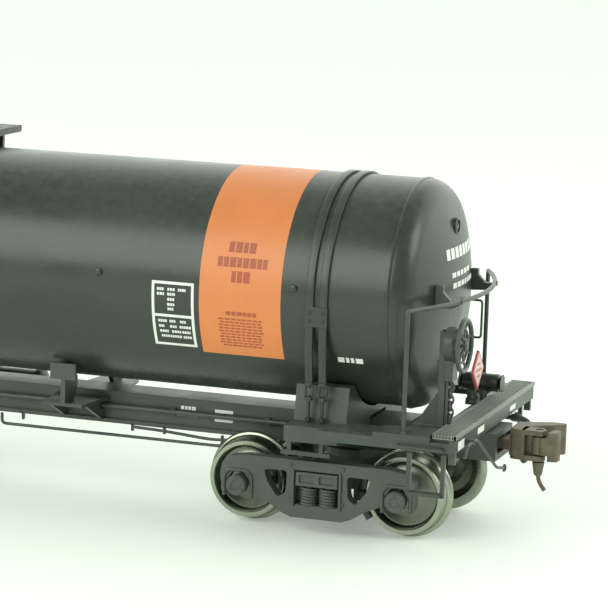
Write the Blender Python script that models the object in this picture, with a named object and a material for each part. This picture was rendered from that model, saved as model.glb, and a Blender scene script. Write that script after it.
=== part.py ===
"""Model tank wagon at 1:87 scale, built as separate named pieces.

Frame: metres, +X towards the brake end, +Y to the left of that direction, +Z up.
The origin is on the ground plane under the middle of the wagon. The wagon stands
on its wheel flanges, so the ground plane is one flange depth below the rail tops.

Each end's pieces are drawn once in that end's own frame, whose origin is on the
ground under the truck's centre pin and whose +X points outward, then placed at
the brake end as drawn and at the other end turned half round.
"""

import math

import bmesh
import bpy
import numpy as np
from mathutils import Matrix, Vector

MM = 0.001
FIT = 0.25 * MM  # clearance between pieces that touch on the real model

# Wheels, to the usual dimensions of the scale
TREAD_RADIUS = 4.81 * MM
FLANGE_DEPTH = 0.64 * MM
BACK_TO_BACK = 14.5 * MM
WHEEL_WIDTH = 2.79 * MM
FLANGE_WIDTH = 0.75 * MM
AXLE_RADIUS = 1.0 * MM
JOURNAL_RADIUS = 0.8 * MM
JOURNAL_END_Y = 12.3 * MM
WHEELBASE = 19.88 * MM
RAIL_TOP = FLANGE_DEPTH
AXLE_Z = TREAD_RADIUS + FLANGE_DEPTH

# Tank
TANK_RADIUS = 13.92 * MM
TANK_WALL = 0.8 * MM
TANK_SIDES = 40
TANK_Z = RAIL_TOP + 27.66 * MM
HEAD_DEPTH = 5.0 * MM
HEAD_KNUCKLE = 3.0 * MM
HEAD_SEAM_X = 8.2 * MM  # from the truck's centre pin, outward
STRAP_OFFSETS = (-1.2 * MM, 0.5 * MM)  # strap centres from the truck's centre pin
STRAP_WIDTH = 0.95 * MM
STRAP_THICKNESS = 0.35 * MM

# Underframe
TRUCK_HALF = 60.0 * MM  # wagon centre to truck centre pin
SILL_HALF_WIDTH = 2.8 * MM
SILL_WEB_HALF = 2.4 * MM
SILL_TOP = RAIL_TOP + 12.3 * MM
SILL_BOTTOM = RAIL_TOP + 8.3 * MM
SILL_END_X = 8.3 * MM
BOLSTER_HALF_X = 3.3 * MM
BOLSTER_END_Y = 16.0 * MM
DECK_TOP = RAIL_TOP + 14.0 * MM
END_FACE_X = 18.2 * MM
END_HALF_WIDTH = 18.1 * MM
SIDE_FACE_Y = 17.7 * MM
ANCHOR_X = 25.3 * MM
ANCHOR_HALF_X = 3.6 * MM
PIPE_RADIUS = 0.3 * MM
PIPE_Y = -SILL_WEB_HALF - FIT - PIPE_RADIUS
PIPE_Z = RAIL_TOP + 10.5 * MM

# Draft gear and coupler
BOX_FRONT_X = 19.3 * MM
BOX_HALF_WIDTH = 3.8 * MM
BOX_BOTTOM = RAIL_TOP + 8.65 * MM
BOX_TOP = RAIL_TOP + 12.0 * MM
COUPLER_PIVOT_X = 12.2 * MM
COUPLER_POST_RADIUS = 0.8 * MM
SHANK_Z = (RAIL_TOP + 9.75 * MM, RAIL_TOP + 11.0 * MM)
HEAD_Z = (RAIL_TOP + 8.9 * MM, RAIL_TOP + 12.6 * MM)
KNUCKLE_PIVOT = (24.0 * MM, -1.35 * MM)

# Truck
FRAME_Y = (11.4 * MM, 13.0 * MM)
TRUCK_BOLSTER_Z = (RAIL_TOP + 5.5 * MM, RAIL_TOP + 7.1 * MM)
KINGPIN_RADIUS = 1.0 * MM

# Hand brake
BRAKE_AXIS_Y = -11.3 * MM
BRAKE_AXIS_Z = RAIL_TOP + 23.8 * MM
BRAKE_WHEEL_X = 17.0 * MM
BRAKE_WHEEL_RADIUS = 3.3 * MM
BRAKE_SHAFT_RADIUS = 0.35 * MM

HANDRAIL_Z = RAIL_TOP + 28.3 * MM
POST_X = 11.8 * MM
POST_Y = 17.4 * MM
RAIL_BULGE_X = 16.1 * MM
WIRE_RADIUS = 0.28 * MM
GRAB_Y = 4.4 * MM

PAINTS = {
    "tank_black": ((0.022, 0.026, 0.024), 0.38, 0.0),
    "frame_black": ((0.030, 0.034, 0.031), 0.50, 0.0),
    "truck_black": ((0.035, 0.038, 0.035), 0.58, 0.0),
    "wheel_steel": ((0.52, 0.51, 0.47), 0.32, 1.0),
    "coupler_brown": ((0.16, 0.115, 0.075), 0.50, 0.3),
    "zinc_steel": ((0.45, 0.45, 0.44), 0.40, 1.0),
    "placard_red": ((0.72, 0.16, 0.16), 0.45, 0.0),
}


def clear_scene():
    """Remove every object, so that the script can be run again in the same file."""
    for obj in list(bpy.data.objects):
        bpy.data.objects.remove(obj)


def paint(name):
    """The material of that name, made the first time it is asked for."""
    found = bpy.data.materials.get(name)
    if found is not None:
        return found
    colour, roughness, metallic = PAINTS[name]
    material = bpy.data.materials.new(name)
    material.use_nodes = True
    shader = material.node_tree.nodes["Principled BSDF"]
    shader.inputs["Base Color"].default_value = (*colour, 1.0)
    shader.inputs["Roughness"].default_value = roughness
    shader.inputs["Metallic"].default_value = metallic
    return material


# ---------------------------------------------------------------- shape helpers


def mesh_of(points, faces):
    """A mesh with its normals outward and doubled points merged."""
    mesh = bpy.data.meshes.new("shape")
    mesh.from_pydata([tuple(point) for point in points], [], faces)
    bm = bmesh.new()
    bm.from_mesh(mesh)
    bmesh.ops.remove_doubles(bm, verts=bm.verts, dist=0.0001 * MM)
    bmesh.ops.recalc_face_normals(bm, faces=bm.faces)
    bm.to_mesh(mesh)
    bm.free()
    return mesh


def prism(outline, axis, low, high):
    """A flat outline pushed along an axis. The outline's two numbers are the other two axes, in order."""
    along = "xyz".index(axis)
    across = [i for i in range(3) if i != along]
    count = len(outline)
    points = np.zeros((2 * count, 3))
    for row, level in enumerate((low, high)):
        part = points[row * count : (row + 1) * count]
        part[:, along] = level
        part[:, across] = outline
    faces = [list(range(count)), list(range(2 * count - 1, count - 1, -1))]
    faces += [[i, (i + 1) % count, count + (i + 1) % count, count + i] for i in range(count)]
    return mesh_of(points, faces)


def block(x, y, z):
    """A box from its (low, high) pair on each axis."""
    return prism([(x[0], y[0]), (x[1], y[0]), (x[1], y[1]), (x[0], y[1])], "z", *z)


def turned(profile, axis="x", centre=(0.0, 0.0, 0.0), sides=24):
    """A closed profile of (distance along the axis, radius) points turned about the axis."""
    angles = np.linspace(0.0, 2 * math.pi, sides, endpoint=False)
    along = "xyz".index(axis)
    across = [i for i in range(3) if i != along]
    count = len(profile)
    points = np.zeros((sides * count, 3))
    for row, angle in enumerate(angles):
        part = points[row * count : (row + 1) * count]
        part[:, along] = [station for station, _ in profile]
        part[:, across[0]] = [radius * math.cos(angle) for _, radius in profile]
        part[:, across[1]] = [radius * math.sin(angle) for _, radius in profile]
    faces = []
    for row in range(sides):
        after = (row + 1) % sides
        for i in range(count):
            j = (i + 1) % count
            if profile[i][1] == 0 and profile[j][1] == 0:
                continue
            ring = [row * count + i, row * count + j, after * count + j, after * count + i]
            if profile[i][1] == 0:
                ring = ring[:3]
            if profile[j][1] == 0:
                ring = [ring[0], ring[1], ring[3]]
            faces.append(ring)
    return mesh_of(points + np.array(centre), faces)


def drum(radius, axis, low, high, centre=(0.0, 0.0, 0.0), sides=24):
    """A plain cylinder between two stations on an axis through the centre point."""
    return turned([(low, 0.0), (low, radius), (high, radius), (high, 0.0)], axis, centre, sides)


def rounded(corners, radius, steps=3):
    """A path through the corners, each inner corner rounded by a short curve."""
    path = [np.array(corners[0], float)]
    for before, corner, after in zip(corners, corners[1:], corners[2:]):
        before, corner, after = (np.array(point, float) for point in (before, corner, after))
        start = corner + (before - corner) / np.linalg.norm(before - corner) * radius
        end = corner + (after - corner) / np.linalg.norm(after - corner) * radius
        for t in np.linspace(0.0, 1.0, steps + 1):
            path.append((1 - t) ** 2 * start + 2 * t * (1 - t) * corner + t**2 * end)
    path.append(np.array(corners[-1], float))
    return path


def wire(path, radius=WIRE_RADIUS, sides=6):
    """A round bar along a path of points."""
    path = np.array(path, float)
    steps = np.diff(path, axis=0)
    steps /= np.linalg.norm(steps, axis=1)[:, None]
    tangents = np.vstack([steps[:1], steps[:-1] + steps[1:], steps[-1:]])
    tangents /= np.linalg.norm(tangents, axis=1)[:, None]
    side = np.cross(tangents[0], (0.31, 0.17, 0.93))
    angles = np.linspace(0.0, 2 * math.pi, sides, endpoint=False)
    points = []
    for place, tangent in zip(path, tangents):
        side = side - tangent * np.dot(side, tangent)
        side /= np.linalg.norm(side)
        up = np.cross(tangent, side)
        for angle in angles:
            points.append(place + radius * (math.cos(angle) * side + math.sin(angle) * up))
    last = (len(path) - 1) * sides
    faces = [list(range(sides)), [last + i for i in range(sides)]]
    for row in range(len(path) - 1):
        for i in range(sides):
            j = (i + 1) % sides
            faces.append([row * sides + i, row * sides + j, (row + 1) * sides + j, (row + 1) * sides + i])
    return mesh_of(points, faces)


def fused(*shapes, cuts=()):
    """One mesh made of shapes that overlap, less the cuts."""
    base = bpy.data.objects.new("base", shapes[0])
    bpy.context.scene.collection.objects.link(base)
    helpers = []
    for operation, meshes in (("UNION", shapes[1:]), ("DIFFERENCE", cuts)):
        for mesh in meshes:
            helper = bpy.data.objects.new("helper", mesh)
            helper.hide_render = True
            helper.display_type = "WIRE"
            bpy.context.scene.collection.objects.link(helper)
            helpers.append(helper)
            step = base.modifiers.new("step", "BOOLEAN")
            step.operation = operation
            step.solver = "EXACT"
            step.object = helper
    graph = bpy.context.evaluated_depsgraph_get()
    result = bpy.data.meshes.new_from_object(base.evaluated_get(graph))
    for obj in [base, *helpers]:
        bpy.data.objects.remove(obj)
    return result


def mirrored(mesh, axis="y"):
    """A copy of a mesh on the other side of the plane through the origin across an axis."""
    copy = mesh.copy()
    scale = Vector((-1 if axis == "x" else 1, -1 if axis == "y" else 1, 1))
    copy.transform(Matrix.Diagonal((*scale, 1.0)))
    copy.flip_normals()
    return copy


def place(name, mesh, colour, at=(0.0, 0.0, 0.0), turn=0.0, parent=None):
    """An object of that name, at a point and turned about the vertical."""
    obj = bpy.data.objects.new(name, mesh)
    bpy.context.scene.collection.objects.link(obj)
    mesh.name = name
    if not mesh.materials:
        mesh.materials.append(paint(colour))
    mesh.shade_smooth()
    mesh.set_sharp_from_angle(angle=math.radians(35))
    obj.parent = parent
    obj.location = at
    obj.rotation_euler = (0.0, 0.0, turn)
    return obj


ENDS = (("b", TRUCK_HALF, 0.0), ("a", -TRUCK_HALF, math.pi))


def both_ends(name, mesh, colour):
    """The same piece at each end of the wagon, drawn in the end's own frame."""
    for letter, x, turn in ENDS:
        place(f"{name}_{letter}", mesh, colour, (x, 0.0, 0.0), turn)


def tank_arc(radius, start, stop, steps):
    """Points (y, z) on a circle about the tank's axis. Angles in degrees from +Y, upward positive."""
    angles = np.radians(np.linspace(start, stop, steps))
    return [(radius * math.cos(angle), TANK_Z + radius * math.sin(angle)) for angle in angles]


# ---------------------------------------------------------------- tank


def tank_barrel():
    half = TRUCK_HALF + HEAD_SEAM_X
    inner = TANK_RADIUS - TANK_WALL
    profile = [(-half, inner), (-half, TANK_RADIUS), (half, TANK_RADIUS), (half, inner)]
    place("tank_barrel", turned(profile, "x", (0.0, 0.0, TANK_Z), TANK_SIDES), "tank_black")


def dished(seam, depth, radius, knuckle, steps):
    """Stations and radii from the seam to the axis: a knuckle arc, then the crown arc tangent to it."""
    inner = radius - knuckle
    crown = (inner**2 + depth**2 - knuckle**2) / (2 * (depth - knuckle))
    meet = math.atan2(inner, crown - depth)
    points = []
    for angle in np.linspace(math.pi / 2, meet, steps):
        points.append((seam + knuckle * math.cos(angle), inner + knuckle * math.sin(angle)))
    for angle in np.linspace(meet, 0.0, steps)[1:-1]:
        points.append((seam + depth - crown + crown * math.cos(angle), crown * math.sin(angle)))
    points.append((seam + depth, 0.0))
    return points


def tank_heads():
    """Dished heads with a small knuckle radius, and a spigot that enters the barrel."""
    seam = HEAD_SEAM_X + FIT
    spigot = TANK_RADIUS - TANK_WALL - FIT
    wall = TANK_WALL
    depth = HEAD_DEPTH - FIT
    profile = [(seam - 2 * MM, spigot - wall), (seam - 2 * MM, spigot), (seam, spigot)]
    profile += dished(seam, depth, TANK_RADIUS, HEAD_KNUCKLE, 5)
    profile += reversed(dished(seam, depth - wall, spigot - wall, HEAD_KNUCKLE - wall, 4)[1:])
    both_ends("tank_head", turned(profile, "x", (0.0, 0.0, TANK_Z), TANK_SIDES), "tank_black")


def ballast_bar():
    x = 40 * MM
    bottom = TANK_Z - 11.2 * MM
    place("ballast_bar", block((-x, x), (-6 * MM, 6 * MM), (bottom, bottom + 6 * MM)), "zinc_steel")


def tank_straps():
    """Hold-down straps over the tank, each end running to a turnbuckle above the bolster."""
    inner = TANK_RADIUS + FIT
    outer = inner + STRAP_THICKNESS
    tail_y = 12.8 * MM
    tail_z = RAIL_TOP + 17.9 * MM
    inside = tank_arc(inner, 0.0, 180.0, 19)
    outside = tank_arc(outer, 180.0, 0.0, 19)
    band = [(tail_y, tail_z), *inside, (-tail_y, tail_z)]
    band += [(-tail_y - STRAP_THICKNESS, tail_z), *outside, (tail_y + STRAP_THICKNESS, tail_z)]
    half = STRAP_WIDTH / 2
    strap = prism([(y, z) for y, z in band], "x", -half, half)
    buckle_z = (RAIL_TOP + 16.1 * MM, RAIL_TOP + 18.1 * MM)
    middle = tail_y + STRAP_THICKNESS / 2
    shapes = [strap]
    cuts = []
    for side in (-1, 1):
        y = sorted((side * (middle - 0.35 * MM), side * (middle + 0.35 * MM)))
        shapes.append(block((-half - 0.1 * MM, half + 0.1 * MM), y, buckle_z))
        slot_y = sorted((side * (middle - MM), side * (middle + MM)))
        slot_z = (buckle_z[0] + 0.35 * MM, buckle_z[1] - 0.45 * MM)
        cuts.append(block((-0.3 * MM, 0.3 * MM), slot_y, slot_z))
        rod_low = RAIL_TOP + 13.3 * MM + FIT
        shapes.append(drum(0.2 * MM, "z", rod_low, buckle_z[0] + 0.1 * MM, (0, side * middle, 0), 8))
    mesh = fused(*shapes, cuts=cuts)
    for letter, x, turn in ENDS:
        for position, offset in zip(("inner", "outer"), STRAP_OFFSETS):
            offset = offset if turn == 0.0 else -offset
            place(f"tank_strap_{letter}_{position}", mesh, "tank_black", (x + offset, 0.0, 0.0), turn)


def manway():
    """Manway neck on the crown of the tank, its lid, and the safety valve beside it."""
    crown = TANK_Z + TANK_RADIUS
    neck_top = crown + 3.2 * MM
    neck = [(crown + FIT, 0.0), (crown + FIT, 4.0 * MM), (neck_top - 0.5 * MM, 4.0 * MM)]
    neck += [(neck_top - 0.5 * MM, 4.6 * MM), (neck_top, 4.6 * MM), (neck_top, 0.0)]
    place("manway_neck", turned(neck, "z", sides=24), "tank_black")
    low = neck_top + FIT
    lid = [(low, 0.0), (low, 4.6 * MM), (low + 0.5 * MM, 4.6 * MM), (low + 0.9 * MM, 3.4 * MM)]
    lid += [(low + 1.2 * MM, 1.6 * MM), (low + 1.25 * MM, 0.0)]
    dogs = []
    for i in range(6):
        angle = math.radians(60 * i + 30)
        centre = (4.1 * MM * math.cos(angle), 4.1 * MM * math.sin(angle), 0.0)
        dogs.append(drum(0.35 * MM, "z", low + 0.3 * MM, low + 1.1 * MM, centre, 5))
    place("manway_lid", fused(turned(lid, "z", sides=18), *dogs), "tank_black")
    valve = [
        (crown + FIT, 0.0),
        (crown + FIT, 1.5 * MM),
        (crown + 0.9 * MM, 1.5 * MM),
        (crown + 0.9 * MM, 1.0 * MM),
    ]
    valve += [(crown + 3.4 * MM, 1.0 * MM), (crown + 3.4 * MM, 1.35 * MM), (crown + 4.2 * MM, 1.1 * MM)]
    valve.append((crown + 4.2 * MM, 0.0))
    place("safety_valve", turned(valve, "z", sides=16), "tank_black", (-7.6 * MM, 0.0, 0.0))


def top_platform():
    """Walkway around the manway, on four short legs above the tank."""
    crown = TANK_Z + TANK_RADIUS
    top = (crown + 1.5 * MM, crown + 2.0 * MM)
    half_x = 11.0 * MM
    half_y = 9.2 * MM
    deck = block((-half_x, half_x), (-half_y, half_y), top)
    legs = []
    for x in (-9 * MM, 9 * MM):
        for y in (-7 * MM, 7 * MM):
            foot = TANK_Z + math.sqrt(TANK_RADIUS**2 - (abs(y) - 0.3 * MM) ** 2) + FIT
            legs.append(
                block(
                    (x - 0.3 * MM, x + 0.3 * MM),
                    (y - 0.3 * MM, y + 0.3 * MM),
                    (foot, top[0] + 0.2 * MM),
                ),
            )
    neck_hole = drum(4.6 * MM + FIT, "z", top[0] - MM, top[1] + MM, sides=24)
    valve_hole = drum(1.9 * MM, "z", top[0] - MM, top[1] + MM, (-7.6 * MM, 0.0, 0.0), 16)
    place("top_platform", fused(deck, *legs, cuts=(neck_hole, valve_hole)), "frame_black")


def ladders():
    """A ladder down each side of the tank from the platform's edge, footed on a bracket from the sill."""
    top = TANK_Z + TANK_RADIUS + 1.75 * MM
    half = 2.4 * MM
    y = 15.4 * MM
    foot = RAIL_TOP + 12.2 * MM
    shapes = []
    for x in (-half, half):
        corners = [
            (x, -9.6 * MM, top), (x, -12.4 * MM, top - 2.2 * MM), (x, -y, TANK_Z + 6 * MM), (x, -y, foot),
        ]
        shapes.append(wire(rounded(corners, 1.5 * MM, 2), 0.3 * MM, 5))
    count = 8
    spacing = 2.7 * MM
    for i in range(count):
        z = foot + 0.4 * MM + i * spacing
        shapes.append(wire([(-half, -y, z), (half, -y, z)], 0.2 * MM, 4))
    bracket = block(
        (-half - 0.3 * MM, half + 0.3 * MM),
        (-y - 0.2 * MM, -SILL_HALF_WIDTH - FIT),
        (foot - 0.4 * MM, foot),
    )
    right = fused(*shapes, bracket)
    place("ladder_right", right, "frame_black")
    place("ladder_left", mirrored(right), "frame_black")


def bottom_outlet():
    top = SILL_BOTTOM - FIT
    profile = [(top, 0.0), (top, 2.3 * MM), (top - 0.6 * MM, 2.3 * MM), (top - 0.6 * MM, 1.6 * MM)]
    profile += [
        (top - 2.0 * MM, 1.6 * MM),
        (top - 2.0 * MM, 2.0 * MM),
        (top - 2.8 * MM, 2.0 * MM),
        (top - 2.8 * MM, 0.0),
    ]
    place("bottom_outlet", turned(profile[::-1], "z", sides=16), "frame_black")


# ---------------------------------------------------------------- underframe


def center_sill():
    """Box sill with bottom flanges, a hole above each truck for its pin, and the two tank anchors."""
    half = TRUCK_HALF + SILL_END_X
    flange = 0.5 * MM
    section = [
        (SILL_HALF_WIDTH, SILL_BOTTOM),
        (SILL_HALF_WIDTH, SILL_BOTTOM + flange),
        (SILL_WEB_HALF, SILL_BOTTOM + flange),
        (SILL_WEB_HALF, SILL_TOP),
    ]
    section += [(-y, z) for y, z in reversed(section)]
    shapes = [prism(section, "x", -half, half)]
    for x in (-ANCHOR_X, ANCHOR_X):
        for side in (-1, 1):
            shapes.extend(tank_anchor(x, side))
    holes = []
    for x in (-TRUCK_HALF, TRUCK_HALF):
        holes.append(
            drum(KINGPIN_RADIUS + 0.2 * MM, "z", SILL_BOTTOM - MM, SILL_BOTTOM + 2.6 * MM, (x, 0, 0), 16),
        )
    for x in (-ANCHOR_X, ANCHOR_X):
        centre = (x, PIPE_Y, PIPE_Z)
        holes.append(drum(PIPE_RADIUS + FIT, "x", -ANCHOR_HALF_X - MM, ANCHOR_HALF_X + MM, centre, 12))
    place("center_sill", fused(*shapes, cuts=holes), "frame_black")


def tank_anchor(x, side):
    """One side of an anchor: a shelf with two gussets under it, and a web up to a plate on the tank."""
    root = SILL_WEB_HALF - 0.3 * MM
    reach = 9.2 * MM
    shelf_z = (RAIL_TOP + 11.2 * MM, RAIL_TOP + 11.6 * MM)
    plate_top = RAIL_TOP + 16.6 * MM
    shelf = [(x - ANCHOR_HALF_X, side * root), (x + ANCHOR_HALF_X, side * root)]
    shelf += [(x + 2.6 * MM, side * reach), (x - 2.6 * MM, side * reach)]
    shapes = [prism(shelf, "z", *shelf_z)]
    gusset = [(root, shelf_z[0] + 0.1 * MM), (8.2 * MM, shelf_z[0] + 0.1 * MM)]
    gusset += [(SILL_HALF_WIDTH - 0.1 * MM, SILL_BOTTOM + 0.3 * MM), (root, SILL_BOTTOM + 0.3 * MM)]
    for offset in (-2.5 * MM, 2.5 * MM):
        outline = [(side * y, z) for y, z in gusset]
        shapes.append(prism(outline, "x", x + offset - 0.2 * MM, x + offset + 0.2 * MM))
    arc = tank_arc(TANK_RADIUS + FIT, -68.0, -52.0, 5)
    web = [
        (reach, shelf_z[1] - 0.1 * MM), (reach, plate_top), *reversed(arc), (5.3 * MM, RAIL_TOP + 13.2 * MM)
    ]
    web.append((6.5 * MM, shelf_z[1] - 0.1 * MM))
    shapes.append(prism([(side * y, z) for y, z in web], "x", x - 0.3 * MM, x + 0.3 * MM))
    y = sorted((side * (reach - 0.4 * MM), side * (reach + 0.1 * MM)))
    shapes.append(block((x - 1.7 * MM, x + 1.7 * MM), y, (RAIL_TOP + 14.6 * MM, plate_top)))
    return shapes


def bolster_saddles():
    """Body bolster across the sill with the tank's cradle on it, as one casting."""
    cradle_top = RAIL_TOP + 17.5 * MM
    end_z = (RAIL_TOP + 11.4 * MM, RAIL_TOP + 13.3 * MM)
    angle = math.degrees(math.asin((cradle_top - TANK_Z) / (TANK_RADIUS + FIT)))
    arc = tank_arc(TANK_RADIUS + FIT, angle, -180 - angle, 15)
    notch = SILL_HALF_WIDTH + FIT
    right = [(BOLSTER_END_Y, end_z[1]), (12.5 * MM, end_z[1]), (11.7 * MM, cradle_top)]
    under = [
        (BOLSTER_END_Y, end_z[0]), (notch + 1.5 * MM, RAIL_TOP + 9.6 * MM), (notch, RAIL_TOP + 9.6 * MM),
    ]
    under.append((notch, SILL_TOP + FIT))
    outline = right + arc + [(-y, z) for y, z in reversed(right)]
    outline += [(-y, z) for y, z in under] + list(reversed(under))
    body = prism(outline, "x", -BOLSTER_HALF_X, BOLSTER_HALF_X)
    shapes = [body]
    for side in (-1, 1):
        y = sorted((side * 13.8 * MM, side * 14.3 * MM))
        low = RAIL_TOP + 9.5 * MM
        for x in (-3.2 * MM, 0.8 * MM):
            shapes.append(block((x - 0.25 * MM, x + 0.25 * MM), y, (low, end_z[0] + 0.3 * MM)))
        shapes.append(block((-4.2 * MM, 1.9 * MM), y, (low - 0.1 * MM, low + 0.4 * MM)))
    both_ends("bolster_saddle", fused(*shapes), "frame_black")


def end_frames():
    """End sill, side sills, walkway strips, cross member and corner grab irons of one end, one casting."""
    sill_z = (RAIL_TOP + 12.2 * MM, RAIL_TOP + 13.4 * MM)
    deck_z = (sill_z[1] - 0.2 * MM, DECK_TOP)
    low_deck_z = (RAIL_TOP + 13.05 * MM, RAIL_TOP + 13.5 * MM)
    face_z = (RAIL_TOP + 12.3 * MM, RAIL_TOP + 13.9 * MM)
    inner_x = 17.5 * MM
    deck_x = (8.2 * MM, 15.1 * MM)
    edge = SIDE_FACE_Y - 0.8 * MM
    strip = 13.5 * MM
    shapes = [block((inner_x, END_FACE_X), (-END_HALF_WIDTH, END_HALF_WIDTH), face_z)]
    shapes.append(block((14.4 * MM, deck_x[1]), (-strip - 0.2 * MM, strip + 0.2 * MM), deck_z))
    shapes.append(block((11.2 * MM, 14.6 * MM), (-strip - 0.2 * MM, BRAKE_AXIS_Y + 1.1 * MM), deck_z))
    shapes.append(block((12.6 * MM, 14.6 * MM), (6.1 * MM, 7.9 * MM), deck_z))
    for side in (-1, 1):
        shapes.append(
            block((1.3 * MM, inner_x + 0.3 * MM), sorted((side * edge, side * SIDE_FACE_Y)), sill_z),
        )
        shapes.append(block(deck_x, sorted((side * strip, side * (SIDE_FACE_Y + 0.1 * MM))), deck_z))
        shapes.append(
            block(
                (3.3 * MM + FIT, deck_x[0] + 0.3 * MM),
                sorted((side * 12.2 * MM, side * (edge + 0.2 * MM))),
                low_deck_z,
            ),
        )
        shapes.append(
            block(
                (14.8 * MM, inner_x + 0.2 * MM),
                sorted((side * 5.0 * MM, side * 5.6 * MM)),
                (deck_z[0], face_z[1] - 0.1 * MM),
            ),
        )
        corner = sorted((side * edge, side * (edge + 0.6 * MM)))
        shapes.append(
            block((17.3 * MM, END_FACE_X - 0.1 * MM), corner, (RAIL_TOP + 10.9 * MM, face_z[0] + 0.2 * MM)),
        )
        inner, outer = SIDE_FACE_Y - 0.3 * MM, SIDE_FACE_Y + 0.6 * MM
        grab = [(11.3 * MM, inner), (11.3 * MM, outer), (16.7 * MM, outer), (16.7 * MM, inner)]
        path = [(x, side * reach, RAIL_TOP + 12.65 * MM) for x, reach in grab]
        shapes.append(wire(rounded(path, 0.4 * MM), 0.2 * MM))
    cut = drum(
        TANK_RADIUS + FIT, "x", deck_x[0] - 2 * MM, deck_x[0] + 2 * MM, (0.0, 0.0, TANK_Z), TANK_SIDES,
    )
    both_ends("end_frame", fused(*shapes, cuts=(cut,)), "frame_black")


def end_gratings():
    """Walkway grating on the end sill: three rows of slots between longitudinal bars."""
    low = DECK_TOP + 0.05 * MM
    high = DECK_TOP + 0.4 * MM
    rows = 3
    columns = 6
    x_edges = np.linspace(15.3 * MM, END_FACE_X + 0.1 * MM, 2 * rows + 2)
    y_edges = np.linspace(-END_HALF_WIDTH - 0.1 * MM, END_HALF_WIDTH + 0.1 * MM, 4 * columns + 2)
    points = []
    index = {}

    def corner(i, j, k):
        if (i, j, k) not in index:
            index[i, j, k] = len(points)
            points.append((x_edges[i], y_edges[j], (low, high)[k]))
        return index[i, j, k]

    def solid(i, j):
        inside = 0 <= i < len(x_edges) - 1 and 0 <= j < len(y_edges) - 1
        return inside and not (i % 2 == 1 and j % 4 in (1, 2, 3))

    faces = []
    for i in range(len(x_edges) - 1):
        for j in range(len(y_edges) - 1):
            if not solid(i, j):
                continue
            for k in (0, 1):
                faces.append(
                    [corner(i, j, k), corner(i + 1, j, k), corner(i + 1, j + 1, k), corner(i, j + 1, k)],
                )
            for (di, dj), (start, end) in (
                ((-1, 0), ((i, j), (i, j + 1))),
                ((1, 0), ((i + 1, j), (i + 1, j + 1))),
                ((0, -1), ((i, j), (i + 1, j))),
                ((0, 1), ((i, j + 1), (i + 1, j + 1))),
            ):
                if not solid(i + di, j + dj):
                    faces.append([corner(*start, 0), corner(*end, 0), corner(*end, 1), corner(*start, 1)])
    both_ends("end_grating", mesh_of(points, faces), "frame_black")


def sill_steps():
    """Stirrup step under each corner: two straps and a tread, bent from one strip."""
    x = (12.4 * MM, 17.0 * MM)
    z = (RAIL_TOP + 6.9 * MM, RAIL_TOP + 12.2 * MM - FIT)
    strap = 0.5 * MM
    outline = [(x[0], z[1]), (x[0], z[0]), (x[1], z[0]), (x[1], z[1]), (x[1] - strap, z[1])]
    outline += [(x[1] - strap, z[0] + strap), (x[0] + strap, z[0] + strap), (x[0] + strap, z[1])]
    bent = prism(outline, "y", -SIDE_FACE_Y, -SIDE_FACE_Y + 0.5 * MM)
    tread = block(
        (x[0] + 0.3 * MM, x[1] - 0.3 * MM),
        (-SIDE_FACE_Y - 0.3 * MM, -SIDE_FACE_Y + 0.8 * MM),
        (z[0] + 0.1 * MM, z[0] + 0.45 * MM),
    )
    right = fused(bent, tread)
    left = mirrored(right)
    for letter, at, turn in ENDS:
        for side, mesh in (("right", right), ("left", left)):
            place(f"sill_step_{letter}_{side}", mesh, "frame_black", (at, 0.0, 0.0), turn)


def handrails():
    """Handrail around the tank head on two posts, with two brackets to pads by the head."""
    floor = DECK_TOP + FIT
    count = 13
    path = [(POST_X, -POST_Y, floor), (POST_X, -POST_Y, HANDRAIL_Z - 0.6 * MM)]
    for y in np.linspace(-POST_Y + 0.4 * MM, POST_Y - 0.4 * MM, count):
        path.append((POST_X + (RAIL_BULGE_X - POST_X) * (1 - (y / POST_Y) ** 2), y, HANDRAIL_Z))
    path += [(POST_X, POST_Y, HANDRAIL_Z - 0.6 * MM), (POST_X, POST_Y, floor)]
    shapes = [wire(path, sides=5)]
    clip_y = 7.7 * MM
    clip_x = POST_X + (RAIL_BULGE_X - POST_X) * (1 - (clip_y / POST_Y) ** 2)
    pad_x = 12.7 * MM
    low = HANDRAIL_Z - 0.2 * MM
    for side in (-1, 1):
        y = sorted((side * (clip_y - 0.4 * MM), side * (clip_y + 0.4 * MM)))
        shapes.append(block((pad_x, clip_x + 0.1 * MM), y, (low, HANDRAIL_Z + 0.25 * MM)))
        shapes.append(block((pad_x, pad_x + 0.6 * MM), y, (low, HANDRAIL_Z + 1.7 * MM)))
    both_ends("handrail", fused(*shapes), "frame_black")
    top, foot = RAIL_TOP + 26.7 * MM, RAIL_TOP + 22.0 * MM
    grab = [(13.25 * MM, top), (14.75 * MM, top), (14.75 * MM, foot), (12.85 * MM, foot)]
    path = [(x, GRAB_Y, z) for x, z in grab]
    place("head_grab_iron", wire(rounded(path, 0.4 * MM), 0.16 * MM), "frame_black", (TRUCK_HALF, 0.0, 0.0))


# ---------------------------------------------------------------- brakes and air


def brake_stand():
    floor = DECK_TOP + FIT
    plate = block((11.3 * MM, 15.1 * MM), (BRAKE_AXIS_Y - MM, BRAKE_AXIS_Y + MM), (floor, floor + 0.3 * MM))
    post = block(
        (14.2 * MM, 15.0 * MM),
        (BRAKE_AXIS_Y - 0.7 * MM, BRAKE_AXIS_Y + 0.7 * MM),
        (floor, RAIL_TOP + 25.4 * MM),
    )
    foot = floor + 0.2 * MM
    outline = [(14.4 * MM, floor + 3.2 * MM), (11.7 * MM, foot), (14.4 * MM, foot)]
    brace = prism(outline, "y", BRAKE_AXIS_Y - 0.3 * MM, BRAKE_AXIS_Y + 0.3 * MM)
    place("brake_stand", fused(plate, post, brace), "frame_black", (TRUCK_HALF, 0.0, 0.0))


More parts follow.
